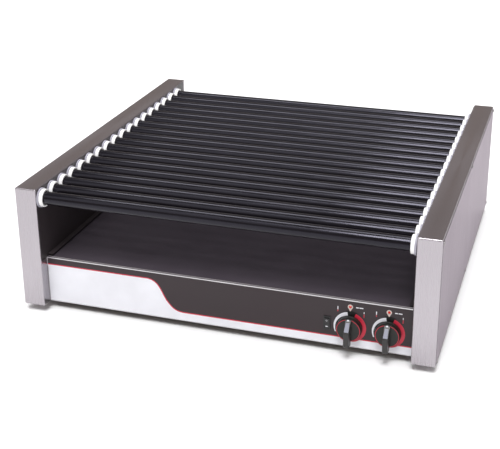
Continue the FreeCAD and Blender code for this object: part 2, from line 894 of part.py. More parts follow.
def base_pan():
    """Bottom of the base, with an upturned rim."""
    front, back = PANEL_BACK, REAR_FACE + " - sheet"
    blank = box("pan_blank", ACROSS, (front, back), ("base_bottom", "base_bottom + pan_rim"))
    hollow = box("pan_hollow", (ACROSS[0] + " + sheet", ACROSS[1] + " - sheet"),
                 (front + " + sheet", back + " - sheet"),
                 ("base_bottom + sheet", "base_bottom + 2*pan_rim"))
    clear = "screw_radius + screw_clearance"
    screw_holes = [
        rod("pan_screw_hole_%d" % n, "y", clear, (back + " - 2*sheet", back + " + sheet"), spot)
        for n, spot in enumerate(back_screw_spots()[:3])
    ]
    return cut("base_pan", blank, hollow, *screw_holes)


finish(box("base_deck", ACROSS, (PANEL_FRONT, REAR_FACE), (DECK_UNDERSIDE, "deck_height")))
finish(base_pan())
finish(base_front_panel())
finish(control_overlay())
finish(base_back_panel())
finish(group("back_panel_screws", *[
    back_screw("back_screw_%d" % n, spot) for n, spot in enumerate(back_screw_spots())
]))


# ---------------------------------------------------------------- rollers, bearings and heating rods


def bearing_row():
    """White collars of the right wall: a cup round each roller's end, a flange and a spigot."""
    body = new_body("roller_bearings_right")
    cup_mouth = LINER_FACE + " - bearing_length"
    flange_side = LINER_FACE + " - bearing_flange_thickness"
    spigot_end = LINER_FACE + " + spigot_length"
    cup_bore = "roller_radius + cup_clearance"
    neck_bore = "neck_radius + running_clearance"
    profile = [
        (cup_mouth, cup_bore), (cup_mouth, "bearing_radius"),
        (flange_side, "bearing_radius"), (flange_side, "bearing_flange_radius"),
        (LINER_FACE, "bearing_flange_radius"), (LINER_FACE, "spigot_radius"),
        (spigot_end, "spigot_radius"), (spigot_end, neck_bore),
        (CUP_FLOOR, neck_bore), (CUP_FLOOR, cup_bore),
    ]
    collar = spin(body, outline(body, "collar_profile", "XY_Plane", profile), "X_Axis")
    row_of(body, collar, "Y_Axis", "roller_count", "roller_pitch")
    return place(body, y=FIRST_ROLLER_Y, z=ROLLER_Z)


def roller_tube(number):
    """Coated tube whose ends are necked down to journals."""
    body = new_body("tube_%02d" % (number + 1))
    left_end = "-(%s) - neck_reach_left" % WALL_OUTSIDE
    right_end = WALL_OUTSIDE + " + neck_reach_right"
    shoulder = TUBE_END + " - neck_shoulder"
    neck_bore = "neck_radius - neck_wall"
    tube_bore = "roller_radius - roller_wall"
    profile = [
        (left_end, "neck_radius"), ("-(%s)" % TUBE_END, "neck_radius"),
        ("-(%s)" % TUBE_END, "roller_radius"), (TUBE_END, "roller_radius"),
        (TUBE_END, "neck_radius"), (right_end, "neck_radius"),
        (right_end, neck_bore), (shoulder, neck_bore),
        (shoulder, tube_bore), ("-(%s)" % shoulder, tube_bore),
        ("-(%s)" % shoulder, neck_bore), (left_end, neck_bore),
    ]
    spin(body, outline(body, body.Name + "_profile", "XY_Plane", profile), "X_Axis")
    return place(body, y=roller_y(number), z=ROLLER_Z)


def sprocket(name, bore):
    """Toothed disc with a hub towards the wall, a tooth gap at its top and its middle at the origin."""
    body = new_body(name)
    half = "sprocket_thickness/2"
    tip = PITCH_RADIUS + " + tooth_height"
    root = PITCH_RADIUS + " - chain_roller_radius - root_clearance"
    disc = circle(body, name + "_disc", "YZ_Plane", tip, offset="-" + half)
    pad(body, disc, "sprocket_thickness")
    hub = circle(body, name + "_hub", "YZ_Plane", "hub_radius", offset="-" + half)
    pad(body, hub, "sprocket_thickness + hub_length")
    hole = circle(body, name + "_bore", "YZ_Plane", bore, offset=half + " + hub_length")
    pocket(body, hole, "sprocket_thickness + hub_length")
    gap = [("-tooth_gap_root/2", root), ("tooth_gap_root/2", root),
           ("tooth_gap_tip/2", tip), ("tooth_gap_tip/2", tip + " + 1"),
           ("-tooth_gap_tip/2", tip + " + 1"), ("-tooth_gap_tip/2", tip)]
    gap_cut = pocket(body, outline(body, name + "_gap", "YZ_Plane", gap, half), "sprocket_thickness")
    ring_of(body, gap_cut, "X_Axis", "sprocket_teeth")
    return body


def retaining_ring(number):
    """Ring on the right neck that stops the roller from sliding out."""
    name = "ring_%02d" % (number + 1)
    start = WALL_OUTSIDE + " + ring_distance"
    spot = (roller_y(number), ROLLER_Z)
    disc = rod(name + "_disc", "x", "ring_radius", (start, start + " + ring_thickness"), spot)
    bore = rod(name + "_bore", "x", "neck_radius + press_clearance",
               (start + " - 1", start + " + ring_thickness + 1"), spot)
    return cut(name, disc, bore)


def roller(number):
    """One roller with its sprocket and its retaining ring."""
    wheel = sprocket("roller_sprocket_%02d" % (number + 1), "neck_radius + press_clearance")
    place(wheel, SPROCKET_X, roller_y(number), ROLLER_Z, (1, 0, 0), roller_phase(number))
    return group("roller_%02d" % (number + 1), roller_tube(number), wheel, retaining_ring(number))


def heating_rods():
    """One sheathed heating rod through each roller."""
    body = new_body("heating_elements")
    reach = WALL_OUTSIDE + " + rod_bracket_distance + sheet + rod_overhang"
    profile = circle(body, "rod_profile", "YZ_Plane", "rod_radius", offset="-(%s)" % reach)
    row_of(body, pad(body, profile, "2*(%s)" % reach), "Y_Axis", "roller_count", "roller_pitch")
    return place(body, y=FIRST_ROLLER_Y, z=ROLLER_Z)


def rod_bracket(name):
    """Folded strip in the right housing that holds the ends of the heating rods."""
    face = WALL_OUTSIDE + " + rod_bracket_distance"
    top = HOUSING_TOP + " - sheet - rod_bracket_top_gap"
    length = (FIRST_ROLLER_Y + " - rod_bracket_end", LAST_ROLLER_Y + " + rod_bracket_end")
    web = box(name + "_web", (face, face + " + sheet"), length,
              (ROLLER_Z + " - rod_bracket_below_axis", top))
    fold = box(name + "_fold", (WALL_OUTSIDE, face + " + sheet"), length, (top + " - sheet", top))
    holes = [
        rod("%s_hole_%02d" % (name, n + 1), "x", "rod_radius + rod_clearance",
            (face + " - sheet", face + " + 2*sheet"), (roller_y(n), ROLLER_Z))
        for n in roller_numbers()
    ]
    return cut(name, fuse(name + "_strip", web, fold), *holes)


bearings_right = finish(bearing_row())
finish(mirrored("roller_bearings_left", bearings_right))
for number in roller_numbers():
    finish(roller(number))
finish(heating_rods())
bracket_right = finish(rod_bracket("element_bracket_right"))
finish(mirrored("element_bracket_left", bracket_right))


# ---------------------------------------------------------------- drive in the left housing

LEFT_WALL = "-(%s)" % INNER_WALL
LEFT_WALL_OUTSIDE = "-(%s)" % WALL_OUTSIDE
GEARBOX_FACE = LEFT_WALL + " + bracket_plate"
MOTOR_SPOT = ("motor_y", "motor_z")


def gearbox_span():
    """Depth and height ranges of the gearbox."""
    return (("motor_y - gearbox_depth/2", "motor_y + gearbox_depth/2"),
            ("motor_z - gearbox_below_shaft", "motor_z - gearbox_below_shaft + gearbox_height"))


def motor_screw_spots():
    depth, height = gearbox_span()
    columns = [depth[0] + " - motor_screw_inset", depth[1] + " + motor_screw_inset"]
    rows = [height[0] + " + motor_screw_inset", height[1] + " - motor_screw_inset"]
    return [(across, up) for across in columns for up in rows]


def gear_motor():
    """Gearbox with its output boss, and the motor can behind it."""
    depth, height = gearbox_span()
    far_side = GEARBOX_FACE + " + gearbox_length"
    case = box("gearbox_case", (GEARBOX_FACE, far_side), depth, height)
    boss = rod("gearbox_boss", "x", "motor_boss_radius",
               (LEFT_WALL_OUTSIDE + " - sheet", far_side), MOTOR_SPOT)
    can = rod("motor_can", "x", "motor_can_radius", (far_side + " - 1", far_side + " + motor_can_length"),
              ("motor_y", "motor_z - motor_can_drop"))
    bore = rod("gearbox_bore", "x", "motor_shaft_radius + running_clearance",
               (LEFT_WALL_OUTSIDE + " - 2*sheet", GEARBOX_FACE + " + motor_shaft_depth + end_float"),
               MOTOR_SPOT)
    return cut("gear_motor", fuse("gear_motor_case", case, boss, can), bore)


def motor_bracket():
    """Plate between the gearbox and the inner wall."""
    depth, height = gearbox_span()
    plate = box("motor_plate", (LEFT_WALL, GEARBOX_FACE),
                (depth[0] + " - bracket_margin", depth[1] + " + bracket_margin"), height)
    holes = [rod("motor_plate_boss_hole", "x", "motor_boss_radius + screw_clearance",
                 (LEFT_WALL + " - 1", GEARBOX_FACE + " + 1"), MOTOR_SPOT)]
    holes += [
        rod("motor_plate_hole_%d" % n, "x", "screw_radius + screw_clearance",
            (LEFT_WALL + " - 1", GEARBOX_FACE + " + 1"), spot)
        for n, spot in enumerate(motor_screw_spots())
    ]
    return cut("motor_bracket", plate, *holes)


def motor_screw(name, spot):
    """Screw of the motor bracket: its head is on the plate and its tip is in the wall."""
    head = rod(name + "_head", "x", "screw_head_radius",
               (GEARBOX_FACE, GEARBOX_FACE + " + screw_head_height"), spot)
    shank = rod(name + "_shank", "x", "screw_radius",
                (LEFT_WALL, GEARBOX_FACE + " + screw_head_height"), spot)
    return fuse(name, head, shank)


def idler_bracket():
    """Plate on the inner wall, with the idler's pin and its head."""
    spot = ("motor_y + idler_distance", "idler_z")
    plate = box("idler_plate", (LEFT_WALL_OUTSIDE + " - idler_plate_thickness", LEFT_WALL_OUTSIDE),
                (spot[0] + " - idler_plate_width/2", spot[0] + " + idler_plate_width/2"),
                ("idler_z - idler_plate_height/2", "idler_z + idler_plate_height/2"))
    hub_end = SPROCKET_X + " + sprocket_thickness/2 + hub_length + end_float"
    disc_end = SPROCKET_X + " - sprocket_thickness/2 - end_float"
    spacer = rod("idler_spacer", "x", "idler_head_radius", (hub_end, LEFT_WALL_OUTSIDE), spot)
    pin = rod("idler_pin", "x", "idler_pin_radius", (disc_end, LEFT_WALL_OUTSIDE), spot)
    head = rod("idler_head", "x", "idler_head_radius",
               (disc_end + " - idler_head_thickness", disc_end), spot)
    return fuse("idler_bracket", plate, spacer, pin, head)


def chain_edge(offset):
    """Closed wire beside the pitch line, outside the loop where the offset is positive."""
    radius = value(PITCH_RADIUS)
    x = value(SPROCKET_X)
    stops = []
    for part in chain_path(idler_z):
        across, up, sense = part["centre"]
        reach = sense * radius + offset
        turn = sense * part["wrap"]

        def spot(heading):
            side = right_of(heading)
            return FreeCAD.Vector(x, across + reach * side[0], up + reach * side[1])

        heading = part["heading"]
        stops.append((spot(heading), spot(heading + turn / 2), spot(heading + turn)))
    edges = []
    for index, (start, middle, end) in enumerate(stops):
        edges.append(Part.LineSegment(stops[index - 1][2], start).toShape())
        edges.append(Part.Arc(start, middle, end).toShape())
    return Part.Wire(edges)


def drive_chain():
    """Roller chain as two rows of side plates joined by its pins."""
    half = value("plate_height") / 2
    gap, thickness = value("plate_spacing"), value("plate_thickness")
    ring = Part.Face(chain_edge(half)).cut(Part.Face(chain_edge(-half)))
    rows = []
    for start in (gap / 2, -gap / 2 - thickness):
        row = ring.extrude(FreeCAD.Vector(thickness, 0, 0))
        row.translate(FreeCAD.Vector(start, 0, 0))
        rows.append(row)
    width = gap + 2 * thickness
    left = value(SPROCKET_X) - width / 2
    bars = [
        Part.makeCylinder(value("chain_roller_radius"), width, FreeCAD.Vector(left, across, up),
                          FreeCAD.Vector(1, 0, 0))
        for across, up, _ in pins
    ]
    chain = doc.addObject("Part::Feature", "drive_chain")
    chain.Shape = rows[0].fuse([rows[1]] + bars)
    return chain


finish(gear_motor())
finish(motor_bracket())
finish(group("motor_screws", *[
    motor_screw("motor_screw_%d" % n, spot) for n, spot in enumerate(motor_screw_spots())
]))
finish(rod("motor_shaft", "x", "motor_shaft_radius",
           (LEFT_WALL_OUTSIDE + " - motor_shaft_reach", GEARBOX_FACE + " + motor_shaft_depth"),
           MOTOR_SPOT))
motor_sprocket = sprocket("motor_sprocket", "motor_shaft_radius + press_clearance")
place(motor_sprocket, SPROCKET_X, "motor_y", "motor_z", (1, 0, 0), value("motor_phase"))
finish(motor_sprocket)
idler_sprocket = sprocket("idler_sprocket", "idler_pin_radius + running_clearance")
place(idler_sprocket, SPROCKET_X, "motor_y + idler_distance", "idler_z", (1, 0, 0),
      value("idler_phase"))
finish(idler_sprocket)
finish(idler_bracket())
finish(drive_chain())


# ---------------------------------------------------------------- controls


def knob(side, across):
    """Heat knob: deep round skirt with a blind bore, and a bar grip that points to the dial."""
    body = new_body("knob_" + side)
    bore = "shaft_radius + press_clearance"
    skirt = [
        (bore, "0"), ("skirt_radius", "0"), ("skirt_face_radius", "-skirt_thickness"),
        ("0", "-skirt_thickness"), ("0", "-knob_bore_depth"), (bore, "-knob_bore_depth"),
    ]
    spin(body, outline(body, body.Name + "_skirt", "XY_Plane", skirt), "Y_Axis")
    root = "grip_root - skirt_thickness"
    side_view = [
        (root, "grip_tip"), ("-skirt_thickness - grip_tip_height", "grip_tip"),
        ("-skirt_thickness - grip_height", "grip_peak"),
        ("-skirt_thickness - grip_tail_height", "-grip_tail"), (root, "-grip_tail"),
    ]
    bar = outline(body, body.Name + "_grip", "YZ_Plane", side_view, "-grip_width/2")
    pad(body, bar, "grip_width")
    return place(body, across, SKIRT_BACK, "knob_height")


def control_shaft(side, across):
    """Steel shaft that the knob turns."""
    tip = SKIRT_BACK + " - knob_bore_depth + press_clearance"
    return rod("control_shaft_" + side, "y", "shaft_radius",
               (tip, PANEL_BACK + " + shaft_depth"), (across, "knob_height"))


def heat_control(side, across):
    """Body of one heat control behind the panel, with its bush in the panel's hole."""
    name = "heat_control_" + side
    spot = (across, "knob_height")
    case = box(name + "_case", (across + " - control_width/2", across + " + control_width/2"),
               (PANEL_BACK, PANEL_BACK + " + control_depth"),
               ("knob_height - control_width/2", "knob_height + control_width/2"))
    bush = rod(name + "_bush", "y", "control_bush_radius",
               (OVERLAY_FRONT, PANEL_BACK + " + control_depth/2"), spot)
    bore = rod(name + "_bore", "y", "shaft_radius + running_clearance",
               (OVERLAY_FRONT + " - 1", PANEL_BACK + " + shaft_depth + shaft_end_gap"), spot)
    return cut(name, fuse(name + "_blank", case, bush), bore)


def pilot_light(side, across):
    """Round lens in the panel with its lamp body behind."""
    name = "pilot_" + side
    spot = (across, "pilot_height")
    lamp = rod(name + "_lamp", "y", "pilot_body_radius",
               (PANEL_BACK, PANEL_BACK + " + pilot_body_length"), spot)
    lens = rod(name + "_lens", "y", "pilot_radius",
               (OVERLAY_FRONT + " - pilot_proud", PANEL_BACK + " + sheet"), spot)
    return fuse(name, lamp, lens)


def power_switch_body():
    """Switch case: a bezel on the overlay, a pocket for the rocker and bearings for its trunnions."""

    def centred(middle, size):
        return ("%s - %s/2" % (middle, size), "%s + %s/2" % (middle, size))

    bezel = box("switch_bezel", centred("switch_x", "bezel_width"),
                (OVERLAY_FRONT + " - bezel_proud", OVERLAY_FRONT),
                centred("switch_height", "bezel_height"))
    case = box("switch_case", centred("switch_x", "switch_width"),
               (OVERLAY_FRONT, OVERLAY_FRONT + " + switch_depth"),
               centred("switch_height", "switch_length"))
    hollow = box("switch_pocket", centred("switch_x", "pocket_width"),
                 (OVERLAY_FRONT + " - 2*bezel_proud", OVERLAY_FRONT + " + pocket_depth"),
                 centred("switch_height", "pocket_length"))
    bearing = rod("switch_bearing", "x", "trunnion_radius + running_clearance",
                  centred("switch_x", "switch_width"), (OVERLAY_FRONT, "switch_height"))
    return cut("power_switch_body", fuse("switch_blank", bezel, case), hollow, bearing)


def power_rocker():
    """Rocker with a shallow V front and two trunnions, tipped to off."""
    body = new_body("power_rocker")
    half = "rocker_half_length"
    profile = [
        ("-rocker_end_height", "-" + half), ("-rocker_middle_height", "0"),
        ("-rocker_end_height", half), ("rocker_side_depth", half),
        ("rocker_keel", "rocker_keel_half"), ("rocker_keel", "-rocker_keel_half"),
        ("rocker_side_depth", "-" + half),
    ]
    pad(body, outline(body, "rocker_profile", "YZ_Plane", profile, "-rocker_width/2"), "rocker_width")
    pin = circle(body, "trunnion_profile", "YZ_Plane", "trunnion_radius",
                 offset="-trunnion_length/2")
    pad(body, pin, "trunnion_length")
    return place(body, "switch_x", OVERLAY_FRONT, "switch_height", (1, 0, 0), value("rocker_tilt"))


for side, across in KNOB_PLACES:
    finish(knob(side, across))
    finish(control_shaft(side, across))
finish(group("heat_controls", *[heat_control(side, across) for side, across in KNOB_PLACES]))
finish(group("pilot_lights", *[pilot_light(side, across) for side, across in KNOB_PLACES]))
finish(power_switch_body())
finish(power_rocker())


# ---------------------------------------------------------------- mains side


def cord_gland():
    """Strain relief in the back panel, with its nut inside and a free bore for a cord."""
    spot = ("gland_x", "gland_z")
    inside = REAR_FACE + " - sheet"
    cap_end = REAR_FACE + " + gland_cap_length"
    nut = rod("gland_nut", "y", "gland_nut_radius", (inside + " - gland_nut_length", inside), spot)
    barrel = rod("gland_barrel", "y", "gland_barrel_radius", (inside + " - 1", cap_end), spot)
    cap = rod("gland_cap", "y", "gland_nut_radius", (REAR_FACE, cap_end), spot)
    tip = doc.addObject("Part::Cone", "gland_tip")
    bind(tip, "Radius1", "gland_nut_radius")
    bind(tip, "Radius2", "gland_tip_radius")
    bind(tip, "Height", "gland_tip_length")
    place(tip, spot[0], cap_end, spot[1], (1, 0, 0), -90)
    bore = rod("gland_bore_cutter", "y", "gland_bore",
               (inside + " - gland_nut_length - 1", cap_end + " + gland_tip_length + 1"), spot)
    return cut("cord_gland", fuse("gland_blank", nut, barrel, cap, tip), bore)


def terminal_block():
    """Ceramic block on the pan, with a row of wire holes."""
    low = "base_bottom + sheet"
    block = box("block_blank", ("block_x", "block_x + block_length"),
                ("block_y", "block_y + block_depth"), (low, low + " + block_height"))
    holes = [
        rod("block_hole_%d" % n, "y", "screw_radius + screw_clearance",
            ("block_y - 1", "block_y + block_depth + 1"),
            ("block_x + block_length*%g" % ((n + 0.5) / 4), low + " + block_height/2"))
        for n in range(4)
    ]
    return cut("terminal_block", block, *holes)


finish(cord_gland())
finish(terminal_block())

# ---------------------------------------------------------------- checks and export

doc.recompute()
for item in doc.Objects:
    if "Invalid" in item.State or "Error" in item.State:
        raise RuntimeError("%s failed to recompute: %s" % (item.Name, item.State))
for piece in subparts:
    if piece.Shape.isNull() or not piece.Shape.isValid() or not piece.Shape.Solids:
        raise RuntimeError("%s has no valid solid" % piece.Label)

os.makedirs("parts", exist_ok=True)
for piece in subparts:
    piece.Shape.exportStep(os.path.join("parts", piece.Label + ".step"))
print("%d sub-parts, %d chain links" % (len(subparts), link_count))
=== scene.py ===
import json
import math

import bmesh
import bpy
from mathutils import Matrix, Vector


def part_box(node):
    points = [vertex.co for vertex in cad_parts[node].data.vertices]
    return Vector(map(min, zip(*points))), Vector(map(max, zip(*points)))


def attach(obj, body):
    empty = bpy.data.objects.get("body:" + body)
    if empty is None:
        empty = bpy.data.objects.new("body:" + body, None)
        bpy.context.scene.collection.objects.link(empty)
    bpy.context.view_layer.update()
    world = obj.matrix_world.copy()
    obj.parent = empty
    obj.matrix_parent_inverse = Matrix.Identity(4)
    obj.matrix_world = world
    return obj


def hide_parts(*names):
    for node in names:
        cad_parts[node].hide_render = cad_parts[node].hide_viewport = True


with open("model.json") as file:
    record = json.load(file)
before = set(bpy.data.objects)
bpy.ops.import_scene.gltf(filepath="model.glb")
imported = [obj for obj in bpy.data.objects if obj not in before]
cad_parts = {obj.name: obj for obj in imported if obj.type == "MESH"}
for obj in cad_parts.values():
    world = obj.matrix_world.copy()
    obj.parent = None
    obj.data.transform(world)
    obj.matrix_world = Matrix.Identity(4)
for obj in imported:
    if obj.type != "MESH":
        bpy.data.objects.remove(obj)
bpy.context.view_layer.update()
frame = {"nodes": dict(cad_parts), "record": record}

NODES = frame["nodes"]
RECORD = frame["record"]
JOINTS = {joint["name"]: joint for joint in RECORD["behaviour"]["joints"]}
ROLLERS = sorted(name for name in NODES if name.startswith("roller_") and name[-2:].isdigit())
MM = 0.001

# ------------------------------------------------------------------ places from the frame

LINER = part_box("bay_back_wall")[1].x
OVERLAY_LOW, OVERLAY_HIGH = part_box("control_overlay")
FACE_Y = OVERLAY_LOW.y
REAR_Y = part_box("base_back_panel")[1].y
ROLLER_SPOTS = [tuple(JOINTS[name + "_spin"]["pos_m"][1:]) for name in ROLLERS]
DIALS = {side: Vector(JOINTS["knob_%s_turn" % side]["pos_m"]) for side in ("left", "right")}
ROCKER = Vector(JOINTS["power_rocker_tip"]["pos_m"])
SPROCKET_X = JOINTS["drive_spin"]["pos_m"][0]

# ------------------------------------------------------------------ materials


class Shader:
    """A Principled material with short calls for its procedural detail."""

    def __init__(self, name, color, metallic=0.0, roughness=0.5, **sockets):
        self.material = bpy.data.materials.new(name)
        self.material.use_nodes = True
        self.tree = self.material.node_tree
        self.shader = self.tree.nodes["Principled BSDF"]
        self.set("Base Color", tuple(color) + (1.0,))
        self.set("Metallic", metallic)
        self.set("Roughness", roughness)
        for socket, amount in sockets.items():
            self.set(socket.replace("_", " "), amount)
        self.material.diffuse_color = tuple(color) + (1.0,)
        self.coordinates = self.tree.nodes.new("ShaderNodeTexCoord")
        self.bumped = None

    def set(self, socket, amount):
        self.shader.inputs[socket].default_value = amount

    def noise(self, scale, detail=3.0, rough=0.5, distortion=0.0):
        """Noise over the object's own metres, stretched by a scale for each axis."""
        mapping = self.tree.nodes.new("ShaderNodeMapping")
        mapping.inputs["Scale"].default_value = scale
        self.tree.links.new(self.coordinates.outputs["Object"], mapping.inputs["Vector"])
        noise = self.tree.nodes.new("ShaderNodeTexNoise")
        noise.inputs["Scale"].default_value = 1.0
        noise.inputs["Detail"].default_value = detail
        noise.inputs["Roughness"].default_value = rough
        noise.inputs["Distortion"].default_value = distortion
        self.tree.links.new(mapping.outputs["Vector"], noise.inputs["Vector"])
        return noise.outputs["Fac"]

    def between(self, source, low, high, start=0.3, end=0.7):
        """A number that goes from low to high as the source goes from start to end."""
        node = self.tree.nodes.new("ShaderNodeMapRange")
        node.inputs["From Min"].default_value = start
        node.inputs["From Max"].default_value = end
        node.inputs["To Min"].default_value = low
        node.inputs["To Max"].default_value = high
        self.tree.links.new(source, node.inputs["Value"])
        return node.outputs["Result"]

    def tint(self, source, dark, light, start=0.3, end=0.7):
        """Base colour that goes from dark to light with the source."""
        ramp = self.tree.nodes.new("ShaderNodeValToRGB")
        ramp.color_ramp.elements[0].position = start
        ramp.color_ramp.elements[0].color = tuple(dark) + (1.0,)
        ramp.color_ramp.elements[1].position = end
        ramp.color_ramp.elements[1].color = tuple(light) + (1.0,)
        self.tree.links.new(source, ramp.inputs["Fac"])
        self.tree.links.new(ramp.outputs["Color"], self.shader.inputs["Base Color"])
        return self

    def rough(self, source, low, high, start=0.3, end=0.7):
        self.tree.links.new(self.between(source, low, high, start, end), self.shader.inputs["Roughness"])
        return self

    def bump(self, source, strength, distance):
        """Adds one layer of relief; later layers sit on the earlier ones."""
        node = self.tree.nodes.new("ShaderNodeBump")
        node.inputs["Strength"].default_value = strength
        node.inputs["Distance"].default_value = distance
        self.tree.links.new(source, node.inputs["Height"])
        if self.bumped is not None:
            self.tree.links.new(self.bumped, node.inputs["Normal"])
        self.bumped = node.outputs["Normal"]
        self.tree.links.new(self.bumped, self.shader.inputs["Normal"])
        return self


def shade(color, factor):
    return tuple(min(1.0, part * factor) for part in color)


def steel(name, color, roughness, grain, depth=0.12):
    """Sheet steel with brushed grain along one axis and faint uneven patches."""
    made = Shader(name, color, metallic=1.0, roughness=roughness)
    fine = made.noise(grain, detail=4.0, rough=0.65)
    broad = made.noise((5.0, 4.0, 3.0), detail=2.0)
    made.tint(broad, shade(color, 0.93), shade(color, 1.05))
    made.rough(fine, roughness - 0.05, roughness + 0.07)
    return made.bump(fine, depth, 0.00004)


def moulded(name, color, roughness, grain=1500.0, depth=0.15, **sockets):
    """Moulded plastic or paint with a very fine skin and slow colour drift."""
    made = Shader(name, color, roughness=roughness, **sockets)
    skin = made.noise((grain, grain, grain), detail=2.0)
    drift = made.noise((14.0, 14.0, 14.0), detail=3.0)
    made.tint(drift, shade(color, 0.95), shade(color, 1.05))
    made.rough(drift, roughness - 0.03, roughness + 0.05)
    return made.bump(skin, depth, 0.00003)


STEEL = (0.42, 0.392, 0.418)
stainless = steel("stainless_brushed", STEEL, 0.27, (900.0, 900.0, 7.0))
stainless.set("Anisotropic", 0.35)
# painted shade: the side covers take a darker copy of the same stainless, with a darker grazing tint, so the
# side faces come out darker than the fronts
cover_steel_painted_shade = steel("stainless_cover_painted_shade", shade(STEEL, 0.62), 0.3, (900.0, 420.0, 5.0), 0.2)
cover_steel_painted_shade.set("Anisotropic", 0.35)
cover_steel_painted_shade.set("Specular Tint", (0.68, 0.62, 0.67, 1.0))
plated = steel("plated_sheet_brushed", (0.6, 0.59, 0.6), 0.3, (6.0, 900.0, 900.0))
# painted shadow: the base pan is near black and brown, which darkens and browns the shade under the base
pan_steel_painted_shadow = steel("pan_sheet_painted_shadow", (0.06, 0.045, 0.035), 0.5, (6.0, 900.0, 900.0))
bright_lip = steel("tray_lip_steel", (0.22, 0.205, 0.21), 0.3, (5.0, 900.0, 900.0), 0.08)
screw_steel = steel("screw_zinc", (0.34, 0.325, 0.33), 0.3, (400.0, 400.0, 400.0), 0.2)
drive_steel = steel("oiled_drive_steel", (0.3, 0.29, 0.29), 0.33, (500.0, 500.0, 500.0), 0.25)
rod_steel = steel("rod_sheath_oxide", (0.24, 0.2, 0.18), 0.45, (30.0, 900.0, 900.0), 0.3)
enamel = moulded("black_enamel_satin", (0.032, 0.025, 0.028), 0.4, 600.0, 0.25)
tray_enamel = moulded("tray_enamel_satin", (0.056, 0.046, 0.058), 0.4, 600.0, 0.25)
coating = moulded("roller_nonstick", (0.0045, 0.0037, 0.0052), 0.19, 900.0, 0.08, Specular_IOR_Level=0.36,
                  Specular_Tint=(0.84, 0.82, 1.0, 1.0))
# painted shade: the collar flanges and spigots take a greyer, darker copy of the white collar polymer, for
# the shade on the wall side of each collar
flange_painted_shade = moulded("collar_flange_painted_shade", (0.34, 0.33, 0.39), 0.4, 900.0, 0.12)
polymer = moulded("collar_white_polymer", (0.86, 0.855, 0.86), 0.34, 900.0, 0.12)
film = moulded("overlay_dark_print", (0.0235, 0.0145, 0.0175), 0.45, 2600.0, 0.2, Specular_IOR_Level=0.4)
# black for a band above each dial and a ring just wider than each knob, darker than the film round them
dial_black_zone = moulded("overlay_dial_black_zone", (0.006, 0.006, 0.006), 0.5, 2600.0, 0.2, Specular_IOR_Level=0.25)
white_ink = moulded("overlay_white_print", (0.7, 0.705, 0.75), 0.45, 2600.0, 0.15)
cream_ink = moulded("overlay_cream_print", (0.56, 0.46, 0.42), 0.45, 2600.0, 0.15)
red_ink = moulded("overlay_red_print", (0.5, 0.014, 0.04), 0.42, 2600.0, 0.15)
knob_black = moulded("knob_phenolic", (0.012, 0.013, 0.0115), 0.4, 800.0, 0.2, Specular_IOR_Level=0.35)
# painted highlight: light grey for the grip's top slope, where the black knob catches light from above
knob_painted_highlight = moulded("knob_painted_highlight_grey", (0.19, 0.195, 0.25), 0.35, 1200.0, 0.2)
knob_grip = moulded("knob_grip_satin", (0.02, 0.019, 0.019), 0.36, 1200.0, 0.3)
switch_black = moulded("switch_nylon", (0.012, 0.012, 0.013), 0.4, 1800.0, 0.3)
lens_red = moulded("pilot_lens_red", (0.62, 0.015, 0.012), 0.12, 300.0, 0.05, Coat_Weight=0.6)
lamp_amber = moulded("pilot_body_nylon", (0.25, 0.05, 0.03), 0.4)
rubber = moulded("foot_rubber_black", (0.018, 0.018, 0.018), 0.72, 1100.0, 0.5)
motor_grey = moulded("gear_motor_paint", (0.1, 0.105, 0.115), 0.42, 500.0, 0.4)
control_brown = moulded("control_case_bakelite", (0.035, 0.028, 0.024), 0.45, 700.0, 0.3)
nylon = moulded("gland_nylon_black", (0.016, 0.016, 0.017), 0.46, 1500.0, 0.35)
ceramic = moulded("block_ceramic_white", (0.76, 0.74, 0.68), 0.3, 500.0, 0.25)

NODE_MATERIALS = {
    stainless: ["side_housing_left", "side_housing_right"],
    # side covers: the darker stainless copy, painted shade
    cover_steel_painted_shade: ["side_cover_left", "side_cover_right"],
    plated: ["base_deck", "base_front_panel", "base_back_panel", "motor_bracket",
             "element_bracket_left", "element_bracket_right", "idler_bracket"],
    # base pan: dark sheet, painted shadow under the base
    pan_steel_painted_shadow: ["base_pan"],
    enamel: ["bay_liner_left", "bay_liner_right", "bay_back_wall"],
    tray_enamel: ["drip_tray"],
    film: ["control_overlay"],
    screw_steel: ["foot_screws", "motor_screws"],
    drive_steel: ["motor_shaft", "motor_sprocket", "idler_sprocket", "drive_chain",
                  "control_shaft_left", "control_shaft_right"],
    rod_steel: ["heating_elements"],
    motor_grey: ["gear_motor"],
    control_brown: ["heat_controls"],
    switch_black: ["power_switch_body"],
    ceramic: ["terminal_block"],
}
for finish, names in NODE_MATERIALS.items():
    for name in names:
        slots = NODES[name].data.materials
        slots.clear()
        slots.append(finish.material)

# ------------------------------------------------------------------ mesh helpers

AXES = {"x": Vector((1, 0, 0)), "y": Vector((0, 1, 0)), "z": Vector((0, 0, 1))}


def turned(bm, profile, axis, centre, segments=48, paint=0, closed=True):
    """A lathe shape: the profile's points are (distance along the axis, radius) from the centre."""
    along = AXES[axis]
    first = AXES["y"] if axis == "x" else AXES["x"]
    second = along.cross(first)
    centre = Vector(centre)
    rings = []
    for height, radius in profile:
        ring = []
        for step in range(segments):
            angle = 2 * math.pi * step / segments
            out = first * math.cos(angle) + second * math.sin(angle)
            ring.append(bm.verts.new(centre + along * height + out * radius))
        rings.append(ring)
    pairs = list(zip(rings, rings[1:]))
    if closed:
        pairs.append((rings[-1], rings[0]))
    for low, high in pairs:
        for step in range(segments):
            after = (step + 1) % segments
            face = bm.faces.new((low[step], low[after], high[after], high[step]))
            face.material_index = paint
    if not closed:
        for ring in (rings[0], rings[-1]):
            face = bm.faces.new(ring)
            face.material_index = paint


